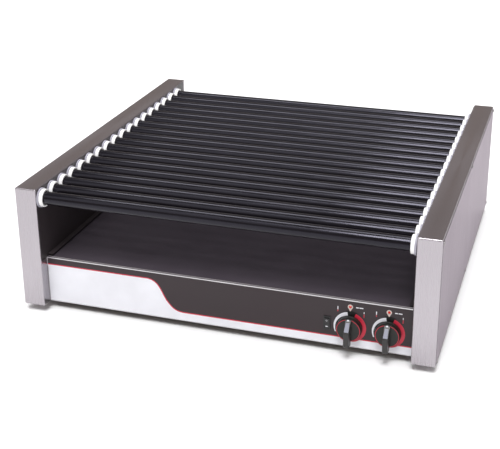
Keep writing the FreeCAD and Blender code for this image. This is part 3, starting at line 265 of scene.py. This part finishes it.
def loft(bm, first, second, paint=0):
    """A closed skin between two outlines of equal length, given as points."""
    rings = [[bm.verts.new(spot) for spot in ring] for ring in (first, second)]
    for ring in rings:
        bm.faces.new(ring).material_index = paint
    count = len(first)
    for step in range(count):
        after = (step + 1) % count
        quad = (rings[0][step], rings[0][after], rings[1][after], rings[1][step])
        bm.faces.new(quad).material_index = paint


def prism(bm, outline, axis, start, end, paint=0):
    """A flat outline pushed along an axis, from start to end."""
    place = {
        "x": lambda level, across, up: (level, across, up),
        "y": lambda level, across, up: (across, level, up),
        "z": lambda level, across, up: (across, up, level),
    }[axis]
    loft(bm, [place(start, *spot) for spot in outline], [place(end, *spot) for spot in outline], paint)


def piece(name, bm, finishes, body, replaces=(), sharp=35.0, bevel=0.0, steps=2):
    """Turns the bmesh into a smooth-shaded object that rides on a body."""
    bmesh.ops.recalc_face_normals(bm, faces=bm.faces)
    mesh = bpy.data.meshes.new(name)
    bm.to_mesh(mesh)
    bm.free()
    for finish in finishes:
        mesh.materials.append(finish.material)
    mesh.polygons.foreach_set("use_smooth", [True] * len(mesh.polygons))
    mesh.set_sharp_from_angle(angle=math.radians(sharp))
    made = bpy.data.objects.new(name, mesh)
    bpy.context.scene.collection.objects.link(made)
    if bevel:
        rounding = made.modifiers.new("edges", "BEVEL")
        rounding.width = bevel
        rounding.segments = steps
        rounding.limit_method = "ANGLE"
        rounding.angle_limit = math.radians(sharp)
        rounding.harden_normals = True
    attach(made, body)
    if replaces:
        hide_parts(*replaces)
    return made


def taper_points(centre, radius_at, start, end, count):
    """Points of an arc whose radius changes; radius_at gives it from the share of the way along."""
    points = []
    for step in range(count + 1):
        angle = math.radians(start + (end - start) * step / count)
        radius = radius_at(step / count)
        points.append((centre[0] + radius * math.cos(angle), centre[1] + radius * math.sin(angle)))
    return points


def arc_points(centre, radius, start, end, count):
    """Points of an arc; angles are in degrees from +X, counter-clockwise."""
    return taper_points(centre, lambda share: radius, start, end, count)


# ------------------------------------------------------------------ rollers

TUBE = 14.3 * MM
TUBE_HALF = 389.7 * MM
NECK = 8.0 * MM
NECK_BORE = 6.5 * MM
SPROCKET_TEETH = 12
PITCH_CIRCLE = 6.35 * MM / (2 * math.sin(math.pi / SPROCKET_TEETH))
SPROCKET_HALF = 1.4 * MM
HUB_RADIUS = 9.2 * MM
HUB_END = 6.0 * MM + SPROCKET_HALF
RING_INSET = 6.8 * MM


def sprocket_outline():
    """Tooth outline with a rounded gap at the top, in the Y-Z plane."""
    points = []
    for tooth in range(SPROCKET_TEETH):
        middle = 90 + 360 / SPROCKET_TEETH * tooth
        for turn, reach in ((-15.0, 1.3), (-11.6, 1.3), (-8.2, -0.4), (-5.5, -1.6), (0, -1.82),
                            (5.5, -1.6), (8.2, -0.4), (11.6, 1.3)):
            angle = math.radians(middle + turn)
            radius = PITCH_CIRCLE + reach * MM
            points.append((radius * math.cos(angle), radius * math.sin(angle)))
    return points


def toothed_wheel(bm, x, across, up, bore, paint):
    """Two-sided toothed ring with a hub towards the wall."""
    points = sprocket_outline()
    levels = (x - SPROCKET_HALF, x + SPROCKET_HALF)
    outer, inner = [], []
    for level in levels:
        outer.append([bm.verts.new((level, across + a, up + b)) for a, b in points])
        ring = []
        for a, b in points:
            length = math.hypot(a, b)
            ring.append(bm.verts.new((level, across + a / length * bore, up + b / length * bore)))
        inner.append(ring)
    count = len(points)
    for step in range(count):
        after = (step + 1) % count
        for quad in ((outer[0][step], outer[0][after], outer[1][after], outer[1][step]),
                     (inner[0][step], inner[0][after], inner[1][after], inner[1][step]),
                     (outer[0][step], outer[0][after], inner[0][after], inner[0][step]),
                     (outer[1][step], outer[1][after], inner[1][after], inner[1][step])):
            bm.faces.new(quad).material_index = paint
    hub = [(SPROCKET_HALF, bore), (SPROCKET_HALF, HUB_RADIUS), (HUB_END - 0.5 * MM, HUB_RADIUS),
           (HUB_END, HUB_RADIUS - 0.5 * MM), (HUB_END, bore)]
    turned(bm, hub, "x", (x, across, up), 32, paint)


def roller_shape(name, across, up):
    """Coated tube with rolled-down ends, its drive sprocket and its retaining ring."""
    low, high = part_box(name)
    left, right = low.x, high.x
    bm = bmesh.new()
    curl = 1.6 * MM
    rounds = [(curl * (1 - math.cos(t)), TUBE - curl * (1 - math.sin(t))) for t in (0.4, 0.8, 1.2, 1.5708)]
    outer = [(left, NECK - 0.4 * MM), (left + 0.5 * MM, NECK), (-TUBE_HALF, NECK), (-TUBE_HALF, TUBE - curl)]
    outer += [(-TUBE_HALF + inset, radius) for inset, radius in rounds]
    outer += [(TUBE_HALF * part, TUBE) for part in (-0.5, 0.0, 0.5)]
    outer += [(TUBE_HALF - inset, radius) for inset, radius in reversed(rounds)]
    outer += [(TUBE_HALF, TUBE - curl), (TUBE_HALF, NECK), (right - 0.5 * MM, NECK), (right, NECK - 0.4 * MM)]
    inner = [(right, NECK_BORE), (left, NECK_BORE)]
    turned(bm, outer + inner, "x", (0, across, up), 64, 0)
    toothed_wheel(bm, SPROCKET_X, across, up, NECK + 0.02 * MM, 1)
    ring_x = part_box("side_housing_right")[0].x + RING_INSET
    ring = [(0, NECK), (0, 9.8 * MM), (0.2 * MM, 10 * MM), (1.0 * MM, 10 * MM), (1.2 * MM, 9.8 * MM),
            (1.2 * MM, NECK)]
    turned(bm, ring, "x", (ring_x, across, up), 40, 2)
    piece(name + "_shape", bm, [coating, drive_steel, screw_steel], name, [name])


for roller_name, (roller_y, roller_z) in zip(ROLLERS, ROLLER_SPOTS):
    roller_shape(roller_name, roller_y, roller_z)

# ------------------------------------------------------------------ white bearing collars


def collar_row(side, sign):
    """A row of turned collars: a cup round each roller's end, a flange and a spigot through the wall."""
    bm = bmesh.new()
    mouth, flange, spigot = 12.0 * MM, 4.0 * MM, -5.0 * MM
    cup, rim, wide, stub, bore = 14.9 * MM, 19.0 * MM, 21.0 * MM, 11.0 * MM, 8.05 * MM
    sleeve = [
        (6.0 * MM, cup), (mouth - 1.0 * MM, cup), (mouth - 0.3 * MM, cup + 0.3 * MM), (mouth, cup + 1.0 * MM),
        (mouth, rim - 1.4 * MM), (mouth - 0.35 * MM, rim - 0.5 * MM), (mouth - 1.3 * MM, rim),
        (flange + 0.3 * MM, rim), (flange, rim - 0.3 * MM), (flange, bore), (6.0 * MM, bore),
    ]
    washer = [
        (flange, bore), (flange, rim - 0.2 * MM), (flange, wide - 0.6 * MM), (flange - 0.6 * MM, wide),
        (0.3 * MM, wide), (0, wide - 0.3 * MM), (0, stub), (spigot + 0.6 * MM, stub),
        (spigot, stub - 0.6 * MM), (spigot, bore),
    ]
    for across, up in ROLLER_SPOTS:
        centre = (sign * LINER, across, up)
        turned(bm, [(-sign * height, radius) for height, radius in sleeve], "x", centre, 56, 0)
        # the flange and spigot take slot 1, the darker grey copy: painted shade next to the wall
        turned(bm, [(-sign * height, radius) for height, radius in washer], "x", centre, 56, 1)
    piece("collars_" + side, bm, [polymer, flange_painted_shade], "base",
          ["roller_bearings_" + side])


collar_row("left", -1)
collar_row("right", 1)

# ------------------------------------------------------------------ screws with a cross recess


SCREW_HEAD = 3.8 * MM


def work_object(name, bm):
    """An object for a boolean, which is removed again."""
    bmesh.ops.recalc_face_normals(bm, faces=bm.faces)
    mesh = bpy.data.meshes.new(name)
    bm.to_mesh(mesh)
    bm.free()
    made = bpy.data.objects.new(name, mesh)
    bpy.context.scene.collection.objects.link(made)
    return made


def screw_template():
    """Pan head with a cross recess, pointing along +Z from its seat at the origin."""
    radius, height = SCREW_HEAD, 1.8 * MM
    bm = bmesh.new()
    profile = [(-4.2 * MM, 2.0 * MM), (0, 2.0 * MM), (0, radius - 0.15 * MM), (0.2 * MM, radius)]
    for step in range(1, 7):
        angle = math.radians(15 * step)
        reach = radius * math.cos(angle) ** 0.45 if step < 6 else 0.05 * MM
        profile.append((0.5 * MM + (height - 0.5 * MM) * math.sin(angle), reach))
    turned(bm, profile, "z", (0, 0, 0), 40, closed=False)
    head = work_object("screw_head_work", bm)
    bm = bmesh.new()
    slim, reach = 0.42 * MM, 1.75 * MM
    cross = [(reach, -slim), (reach, slim), (slim, slim), (slim, reach), (-slim, reach), (-slim, slim),
             (-reach, slim), (-reach, -slim), (-slim, -slim), (-slim, -reach), (slim, -reach), (slim, -slim)]
    prism(bm, cross, "z", 0.55 * MM, 3 * MM)
    tool = work_object("screw_cross_work", bm)
    carve = head.modifiers.new("recess", "BOOLEAN")
    carve.operation = "DIFFERENCE"
    carve.solver = "EXACT"
    carve.object = tool
    bpy.context.view_layer.update()
    ready = bpy.data.meshes.new_from_object(head.evaluated_get(bpy.context.evaluated_depsgraph_get()))
    bpy.data.objects.remove(head)
    bpy.data.objects.remove(tool)
    return ready


SCREW = screw_template()


def screw_set(name, spots, direction, body, replaced):
    """Copies of the screw at the spots, each turned a little differently about its own axis."""
    bm = bmesh.new()
    for number, spot in enumerate(spots):
        outward = Vector(direction(spot))
        aim = outward.to_track_quat("Z", "Y").to_matrix().to_4x4()
        turn = Matrix.Rotation(math.radians(17 + 41 * number), 4, "Z")
        before = len(bm.verts)
        bm.from_mesh(SCREW)
        bm.verts.ensure_lookup_table()
        bmesh.ops.transform(bm, matrix=Matrix.Translation(spot) @ aim @ turn, verts=bm.verts[before:])
    piece(name, bm, [screw_steel], body, replaced, sharp=40)


cover_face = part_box("side_cover_right")[1].x
head_low, head_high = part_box("cover_screws")
end_y = head_low.y + SCREW_HEAD
side_spots = [Vector((side * cover_face, y, z)) for side in (-1, 1)
              for z in (head_low.z + SCREW_HEAD, head_high.z - SCREW_HEAD) for y in (end_y, 0.0, -end_y)]
screw_set("cover_screw_heads", side_spots, lambda spot: (math.copysign(1, spot.x), 0, 0), "base",
          ["cover_screws"])
rear_low, rear_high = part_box("back_panel_screws")
rear_spots = [Vector((x, REAR_Y, z)) for z in (rear_low.z + SCREW_HEAD, rear_high.z - SCREW_HEAD)
              for x in (rear_low.x + SCREW_HEAD, 0.0, rear_high.x - SCREW_HEAD)]
screw_set("rear_screw_heads", rear_spots, lambda spot: (0, 1, 0), "base", ["back_panel_screws"])

# ------------------------------------------------------------------ feet

FOOT_RADIUS = 17 * MM
foot_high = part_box("feet")[1]
foot_top = foot_high.z
foot_profile = [
    (7 * MM, 3.2 * MM), (7 * MM, 6.5 * MM), (0.6 * MM, 6.5 * MM), (0, 7.1 * MM), (0, 12.6 * MM),
    (0.4 * MM, 13.6 * MM), (1.4 * MM, 14.2 * MM), (5.6 * MM, 15.0 * MM), (6.0 * MM, 14.6 * MM),
    (6.8 * MM, 14.6 * MM), (7.2 * MM, 15.3 * MM), (foot_top - 2.4 * MM, 16.5 * MM),
    (foot_top - 1.9 * MM, FOOT_RADIUS), (foot_top - 0.3 * MM, FOOT_RADIUS), (foot_top, 16.7 * MM),
    (foot_top, 3.2 * MM),
]
bm = bmesh.new()
for across in (-1, 1):
    for along in (-1, 1):
        spot = (across * (foot_high.x - FOOT_RADIUS), along * (foot_high.y - FOOT_RADIUS), 0)
        turned(bm, foot_profile, "z", spot, 48)
piece("rubber_feet", bm, [rubber], "base", ["feet"])

# ------------------------------------------------------------------ printed front


def print_level(height):
    """Height above the floor of a point on the printed front."""
    return (16 + 1.028 * height) * MM


INK = 0.06 * MM
PRINT_LOW = OVERLAY_LOW.z + 0.4 * MM
PRINT_LEFT, PRINT_RIGHT = OVERLAY_LOW.x + 0.4 * MM, OVERLAY_HIGH.x - 0.4 * MM
STRIP_TOP = print_level(19.5)
FIELD_TOP = print_level(86)
border = [(PRINT_LEFT, FIELD_TOP), (-172 * MM, FIELD_TOP)]
curve = [
    (-163, 86.0), (-155, 84.2), (-148.6, 80.9), (-143.2, 76.2), (-138.6, 70.0), (-133.6, 61.5),
    (-129.0, 52.1), (-123.9, 43.2), (-117.9, 35.7), (-113.9, 31.2), (-109.5, 27.2), (-103.5, 23.4),
    (-96.5, 20.9), (-88, 19.7), (-78, 19.5),
]
border += [(x * MM, print_level(z)) for x, z in curve]
border += [(PRINT_RIGHT, STRIP_TOP)]
bm = bmesh.new()
white_field = [(PRINT_LEFT, PRINT_LOW)] + border + [(PRINT_RIGHT, PRINT_LOW)]
prism(bm, white_field, "y", FACE_Y - INK, FACE_Y + 0.02 * MM, paint=0)


def offset_line(points, distance):
    """The line moved to its left by a distance."""
    moved = []
    for index, (x, z) in enumerate(points):
        before = points[max(0, index - 1)]
        after = points[min(len(points) - 1, index + 1)]
        dx, dz = after[0] - before[0], after[1] - before[1]
        length = math.hypot(dx, dz)
        moved.append((x - dz / length * distance, z + dx / length * distance))
    return moved


red_line = offset_line(border, 2.3 * MM) + border[::-1]
prism(bm, red_line, "y", FACE_Y - INK * 1.2, FACE_Y + 0.02 * MM, paint=1)
# each mark is left, right, bottom and top from the dial's centre in mm, and its ink
DIAL_MARKS = [
    (-25.8, -24.2, 36.0, 43.0, 0), (-25.8, -24.2, 31.5, 35.2, 1), (27.2, 28.6, 33.5, 37.5, 0),
    (27.2, 28.6, 25.0, 32.7, 1), (11.5, 17.0, 44.2, 46.2, 0), (18.4, 26.0, 44.2, 46.2, 0),
]
DIAL_RADIUS = 33 * MM
MARK_FRONT = FACE_Y - INK * 1.6
for centre in DIALS.values():
    cx, cz = centre.x, centre.z
    # slot 2: a black band above the dial and a black ring just wider than the knob, darker than the film
    gap = arc_points((cx, cz), 36 * MM, 66, 104, 12) + arc_points((cx, cz), 22 * MM, 104, 66, 12)
    prism(bm, gap, "y", FACE_Y - INK, FACE_Y, paint=2)
    under = arc_points((cx, cz), 27.5 * MM, 0, 354, 59)
    prism(bm, under, "y", FACE_Y - INK * 0.8, FACE_Y, paint=2)
    for start, end, count, taper, ink in (
            (100, 206, 40, lambda share: (24.6 + 6.6 * share) * MM, 0),
            (70, -80, 44, lambda share: (24.6 + 5.2 * share ** 3) * MM, 1)):
        outer = arc_points((cx, cz), DIAL_RADIUS, start, end, count)
        inner = taper_points((cx, cz), taper, start, end, count)
        prism(bm, outer + inner[::-1], "y", MARK_FRONT, FACE_Y, paint=ink)
    for x0, x1, z0, z1, ink in DIAL_MARKS:
        spots = [(cx + x * MM, cz + z * MM) for x, z in ((x0, z0), (x1, z0), (x1, z1), (x0, z1))]
        prism(bm, spots, "y", MARK_FRONT, FACE_Y, paint=ink)
pilot_z = (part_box("pilot_lights")[0].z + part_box("pilot_lights")[1].z) / 2
for centre in DIALS.values():
    drop = arc_points((centre.x, pilot_z), 5.2 * MM, -38, 218, 40) + [(centre.x, pilot_z - 10.4 * MM)]
    hole = arc_points((centre.x, pilot_z), 3.0 * MM, -38, 218, 40)
    tail = (centre.x, pilot_z - 3.0 * MM)
    quads = [[drop[step], drop[step + 1], hole[step + 1], hole[step]] for step in range(40)]
    quads += [[hole[40], drop[40], drop[41], tail], [tail, drop[41], drop[0], hole[0]]]
    for quad in quads:
        prism(bm, quad, "y", MARK_FRONT, FACE_Y, paint=3)
piece("front_print", bm, [white_ink, red_ink, dial_black_zone, cream_ink], "base", sharp=60)

# ------------------------------------------------------------------ pilot lights

LENS = 2.6 * MM
LENS_RISE = 2.2 * MM
lens = [(1.6 * MM, LENS), (-0.3 * MM, LENS)]
for degrees in (15, 30, 45, 60, 75):
    angle = math.radians(degrees)
    lens.append((-LENS_RISE * math.sin(angle), LENS * math.cos(angle) ** 0.7))
lens.append((-LENS_RISE, 0.05 * MM))
lamp_body = [
    (1.6 * MM, 2.5 * MM), (1.6 * MM, 4.5 * MM), (14 * MM, 4.5 * MM), (14.4 * MM, 4.1 * MM),
    (19.2 * MM, 4.1 * MM), (19.6 * MM, 3.6 * MM), (19.6 * MM, 1.0 * MM),
]
bm = bmesh.new()
for centre in DIALS.values():
    for paint, profile in enumerate((lens, lamp_body)):
        turned(bm, profile, "y", (centre.x, FACE_Y, pilot_z), 32, paint, closed=False)
piece("pilot_lenses", bm, [lens_red, lamp_amber], "base", ["pilot_lights"])

# ------------------------------------------------------------------ knobs


KNOB_DEPTH = 14 * MM
KNOB_BORE = 3.05 * MM


def knob_skirt(side, back, face):
    """Deep round skirt with a red ring on its face."""
    centre = DIALS[side]
    profile = [
        (0, KNOB_BORE), (0, 25.4 * MM), (-0.6 * MM, 26 * MM), (-4 * MM, 26 * MM), (-4.5 * MM, 25.6 * MM),
        (-5.2 * MM, 25.6 * MM), (-5.7 * MM, 25.85 * MM), (-12.6 * MM, 25.15 * MM), (-13.6 * MM, 24.7 * MM),
        (-KNOB_DEPTH, 24.0 * MM), (-KNOB_DEPTH, KNOB_BORE),
    ]
    ring = [(0.3 * MM, 22.7 * MM), (-0.12 * MM, 22.8 * MM), (-0.12 * MM, 23.9 * MM), (0.3 * MM, 24.0 * MM)]
    bm = bmesh.new()
    turned(bm, profile, "y", (centre.x, back, centre.z), 96, 0)
    turned(bm, ring, "y", (centre.x, face, centre.z), 96, 1)
    piece("knob_%s_skirt" % side, bm, [knob_black, red_ink], "knob_" + side, ["knob_" + side])


def knob_grip_bar(side, front, face):
    """Bar grip that points to the dial, narrower in front than at its root."""
    centre = DIALS[side]
    outline = [
        (face + 0.6 * MM, 24.4), (face - 0.6 * MM, 24.4), (face - 2.0 * MM, 23.4), (front + 0.9 * MM, 4.4),
        (front, 2.6), (front + 0.1 * MM, 0.6), (front + 1.6 * MM, -26.0), (front + 2.6 * MM, -29.6),
        (front + 4.4 * MM, -30.9), (face - 1.2 * MM, -30.9), (face - 0.2 * MM, -30.2),
        (face - 0.2 * MM, -26.5), (face + 0.6 * MM, -24.0),
    ]
    sides = []
    for sign in (-1, 1):
        ring = []
        for y, up in outline:
            half_width = 5.4 * MM if y < face - 3 * MM else 6.0 * MM
            ring.append((centre.x + sign * half_width, y, centre.z + up * MM))
        sides.append(ring)
    bm = bmesh.new()
    loft(bm, *sides)
    piece("knob_%s_grip" % side, bm, [knob_grip], "knob_" + side,
          sharp=50, bevel=0.9 * MM, steps=3)


def knob_marks(side, front, face):
    """Painted highlight: a light grey strip along the grip's top slope, where light from above falls, and the
    white dot at its tip.
    """
    centre = DIALS[side]
    slope = ((face - 2.0 * MM, 23.4), (front + 0.9 * MM, 4.4))
    rings = []
    for lift in (0.3, -0.22):
        ring = []
        for part, halves in ((0.2, (-3.6, 3.6)), (0.96, (4.6, -4.6))):
            y = slope[0][0] + (slope[1][0] - slope[0][0]) * part
            up = slope[0][1] + (slope[1][1] - slope[0][1]) * part
            for x in halves:
                ring.append((centre.x + x * MM, y + lift * MM * 0.75, centre.z + (up - lift * 0.66) * MM))
        rings.append(ring)
    bm = bmesh.new()
    loft(bm, *rings)
    # the grey strip is a painted highlight on the slope
    piece("knob_%s_inlay" % side, bm, [knob_painted_highlight], "knob_" + side, bevel=0.12 * MM)
    dot = [(0.9 * MM, 0.1 * MM), (0.9 * MM, 2.5 * MM), (-0.5 * MM, 2.5 * MM), (-0.85 * MM, 2.1 * MM),
           (-0.95 * MM, 0.1 * MM)]
    bm = bmesh.new()
    turned(bm, dot, "y", (centre.x, face - 2.2 * MM, centre.z + 22.2 * MM), 32, closed=False)
    piece("knob_%s_dot" % side, bm, [white_ink], "knob_" + side)


for side_name in DIALS:
    knob_low, knob_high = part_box("knob_" + side_name)
    knob_face = knob_high.y - KNOB_DEPTH
    knob_skirt(side_name, knob_high.y, knob_face)
    knob_grip_bar(side_name, knob_low.y, knob_face)
    knob_marks(side_name, knob_low.y, knob_face)

# ------------------------------------------------------------------ rocker switch

TILT = math.radians(8)


def rocker_point(x, y, z):
    """A point of the untipped rocker, moved to where it stands when it is off."""
    turned_y = y * math.cos(TILT) - z * math.sin(TILT)
    turned_z = y * math.sin(TILT) + z * math.cos(TILT)
    return (ROCKER.x + x, ROCKER.y + turned_y, ROCKER.z + turned_z)


side_view = [
    (-3.2, -11.5), (-2.55, -6.5), (-1.75, -1.2), (-1.6, 0), (-1.75, 1.2), (-2.55, 6.5), (-3.2, 11.5),
    (2, 11.5), (5, 6), (5, -6), (2, -11.5),
]
bm = bmesh.new()
loft(bm, *[[rocker_point(x, y * MM, z * MM) for y, z in side_view] for x in (-5.1 * MM, 5.1 * MM)])
piece("rocker_paddle", bm, [switch_black], "power_rocker", ["power_rocker"],
      sharp=40, bevel=0.5 * MM)


def rocker_face(z):
    """Depth of the rocker's front at a height, with the height in millimetres."""
    return -(1.6 + 1.6 * abs(z) / 11.5)


def rocker_mark(bm, outline):
    """A thin raised mark on the rocker's front."""
    loft(bm, *[[rocker_point(x * MM, (rocker_face(z) + lift) * MM, z * MM) for x, z in outline]
               for lift in (0.1, -0.06)])


bm = bmesh.new()
rocker_mark(bm, [(-2.4, -8.6), (2.4, -8.6), (2.4, -6.9), (-2.4, -6.9)])
ring_outer = arc_points((0, 6.2), 1.9, 0, 360, 20)
ring_inner = arc_points((0, 6.2), 1.35, 0, 360, 20)
for step in range(20):
    rocker_mark(bm, [ring_outer[step], ring_outer[step + 1], ring_inner[step + 1], ring_inner[step]])
piece("rocker_marks", bm, [white_ink], "power_rocker", sharp=60)

# ------------------------------------------------------------------ bright front lip of the tray

tray_low, tray_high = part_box("drip_tray")
bm = bmesh.new()
half = tray_high.x - 0.3 * MM
lip_foot = tray_high.z - 1.9 * MM
lip = [(tray_low.y - 0.05 * MM, lip_foot), (tray_low.y - 0.05 * MM, tray_high.z - 0.5 * MM),
       (tray_low.y + 0.15 * MM, tray_high.z + 0.02 * MM), (tray_low.y + 0.65 * MM, tray_high.z + 0.06 * MM),
       (tray_low.y + 0.95 * MM, tray_high.z - 0.15 * MM), (tray_low.y + 0.95 * MM, tray_high.z - 0.5 * MM),
       (tray_low.y + 0.1 * MM, tray_high.z - 0.6 * MM), (tray_low.y + 0.1 * MM, lip_foot)]
prism(bm, lip, "x", -half, half)
piece("tray_front_lip", bm, [bright_lip], "drip_tray", sharp=45)

# ------------------------------------------------------------------ cord gland

gland_low, gland_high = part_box("cord_gland")
gland_x, gland_z = (gland_low.x + gland_high.x) / 2, (gland_low.z + gland_high.z) / 2
bm = bmesh.new()
tip = gland_high.y - REAR_Y
dome = [
    (0.2 * MM, 10.6 * MM), (5 * MM, 10.6 * MM), (5.6 * MM, 11.6 * MM), (9.6 * MM, 11.9 * MM),
    (12.5 * MM, 11.2 * MM), (15.2 * MM, 9.9 * MM), (17.2 * MM, 8.2 * MM), (tip - 0.2 * MM, 7.0 * MM),
    (tip, 6.5 * MM), (tip - 0.3 * MM, 5.8 * MM), (tip - 4 * MM, 5.5 * MM), (-9.2 * MM, 5.5 * MM),
    (-9.2 * MM, 9.9 * MM), (0.2 * MM, 9.9 * MM),
]
turned(bm, dome, "y", (gland_x, REAR_Y, gland_z), 48)
hexagon = arc_points((gland_x, gland_z), 12.6 * MM, 0, 300, 5)
hole = arc_points((gland_x, gland_z), 9.7 * MM, 0, 300, 5)
for start, end in ((0.0, 4.6 * MM), (-9.2 * MM, -1.2 * MM)):
    for step in range(6):
        after = (step + 1) % 6
        quad = [hexagon[step], hexagon[after], hole[after], hole[step]]
        prism(bm, quad, "y", REAR_Y + start, REAR_Y + end)
rib = [(6.0 * MM, 0.1 * MM), (6.3 * MM, 0.55 * MM), (10.2 * MM, 0.55 * MM), (11 * MM, 0.1 * MM)]
for number in range(18):
    angle = math.radians(20 * number)
    spot = (gland_x + 11.75 * MM * math.cos(angle), REAR_Y, gland_z + 11.75 * MM * math.sin(angle))
    turned(bm, rib, "y", spot, 8, closed=False)
bmesh.ops.remove_doubles(bm, verts=bm.verts, dist=1e-6)
piece("gland_cap", bm, [nylon], "base", ["cord_gland"], sharp=40)

# ------------------------------------------------------------------ studio

bm = bmesh.new()
floor_half = 30.0
for x, y in ((-1, -1), (1, -1), (1, 1), (-1, 1)):
    bm.verts.new((x * floor_half, y * floor_half, 0.0))
bm.faces.new(bm.verts)
mesh = bpy.data.meshes.new("studio_floor")
bm.to_mesh(mesh)
bm.free()
floor_paint = Shader("floor_pale", (0.93, 0.93, 0.935), roughness=0.9)
floor_paint.rough(floor_paint.noise((3.0, 3.0, 3.0)), 0.85, 0.95)
mesh.materials.append(floor_paint.material)
floor = bpy.data.objects.new("studio_floor", mesh)
bpy.context.scene.collection.objects.link(floor)

world = bpy.data.worlds.new("studio_light")
bpy.context.scene.world = world
world.use_nodes = True
tree = world.node_tree
sky = tree.nodes["Background"]
where = tree.nodes.new("ShaderNodeTexCoord")
split = tree.nodes.new("ShaderNodeSeparateXYZ")
tree.links.new(where.outputs["Generated"], split.inputs["Vector"])
ramp = tree.nodes.new("ShaderNodeValToRGB")
ramp.color_ramp.elements[0].position = 0.0
ramp.color_ramp.elements[0].color = (0.8, 0.8, 0.8, 1)
ramp.color_ramp.elements[1].position = 1.0
ramp.color_ramp.elements[1].color = (0.34, 0.34, 0.36, 1)
for position, color in (
        (0.07, (0.8, 0.8, 0.8, 1)), (0.15, (0.4, 0.335, 0.31, 1)), (0.36, (0.49, 0.415, 0.37, 1)),
        (0.52, (0.36, 0.34, 0.34, 1)), (0.7, (0.3, 0.3, 0.32, 1))):
    ramp.color_ramp.elements.new(position).color = color
tree.links.new(split.outputs["Z"], ramp.inputs["Fac"])
tree.links.new(ramp.outputs["Color"], sky.inputs["Color"])
sky.inputs["Strength"].default_value = 0.72


def softbox(name, spot, target, size, power):
    """A rectangular area light aimed at a point."""
    data = bpy.data.lights.new(name, "AREA")
    data.shape = "RECTANGLE"
    data.size, data.size_y = size
    data.energy = power
    lamp = bpy.data.objects.new(name, data)
    bpy.context.scene.collection.objects.link(lamp)
    lamp.location = spot
    lamp.rotation_euler = (Vector(target) - Vector(spot)).to_track_quat("-Z", "Y").to_euler()


softbox("key_softbox", (-1.6, -2.4, 3.0), (0, 0, 0.15), (2.6, 2.6), 20)
softbox("fill_softbox", (2.8, -1.8, 2.4), (0, 0, 0.15), (2.4, 2.4), 14)
softbox("top_softbox", (0.0, 1.0, 4.2), (0, 0.3, 0.0), (5.0, 1.3), 125)
sunlight = bpy.data.lights.new("studio_sun", "SUN")
sunlight.energy = 2.6
sunlight.angle = math.radians(26)
sun = bpy.data.objects.new("studio_sun", sunlight)
bpy.context.scene.collection.objects.link(sun)
sun.rotation_euler = Vector((-0.06, 0.46, -1.0)).to_track_quat("-Z", "Y").to_euler()

# ------------------------------------------------------------------ camera at the photograph's angle

AZIMUTH, ELEVATION, ROLL = math.radians(18.213), math.radians(21.309), math.radians(-0.445)
TARGET = Vector((-0.068, 0.0, 0.199))
DISTANCE = 2.5243
backward = Vector((math.sin(AZIMUTH) * math.cos(ELEVATION),
                   -math.cos(AZIMUTH) * math.cos(ELEVATION),
                   math.sin(ELEVATION)))
level_right = Vector((0, 0, 1)).cross(backward).normalized()
level_up = backward.cross(level_right)
right = level_right * math.cos(ROLL) + level_up * math.sin(ROLL)
up = -level_right * math.sin(ROLL) + level_up * math.cos(ROLL)
camera_data = bpy.data.cameras.new("photo_camera")
camera_data.lens = 77.05
camera_data.sensor_width = 36.0
camera_data.shift_y = -0.099
camera_data.clip_start, camera_data.clip_end = 0.05, 200.0
camera = bpy.data.objects.new("photo_camera", camera_data)
bpy.context.scene.collection.objects.link(camera)
camera.matrix_world = Matrix((
    (right.x, up.x, backward.x, 0),
    (right.y, up.y, backward.y, 0),
    (right.z, up.z, backward.z, 0),
    (0, 0, 0, 1),
))
camera.location = TARGET + backward * DISTANCE
bpy.context.scene.camera = camera
bpy.context.scene.view_settings.view_transform = "Standard"
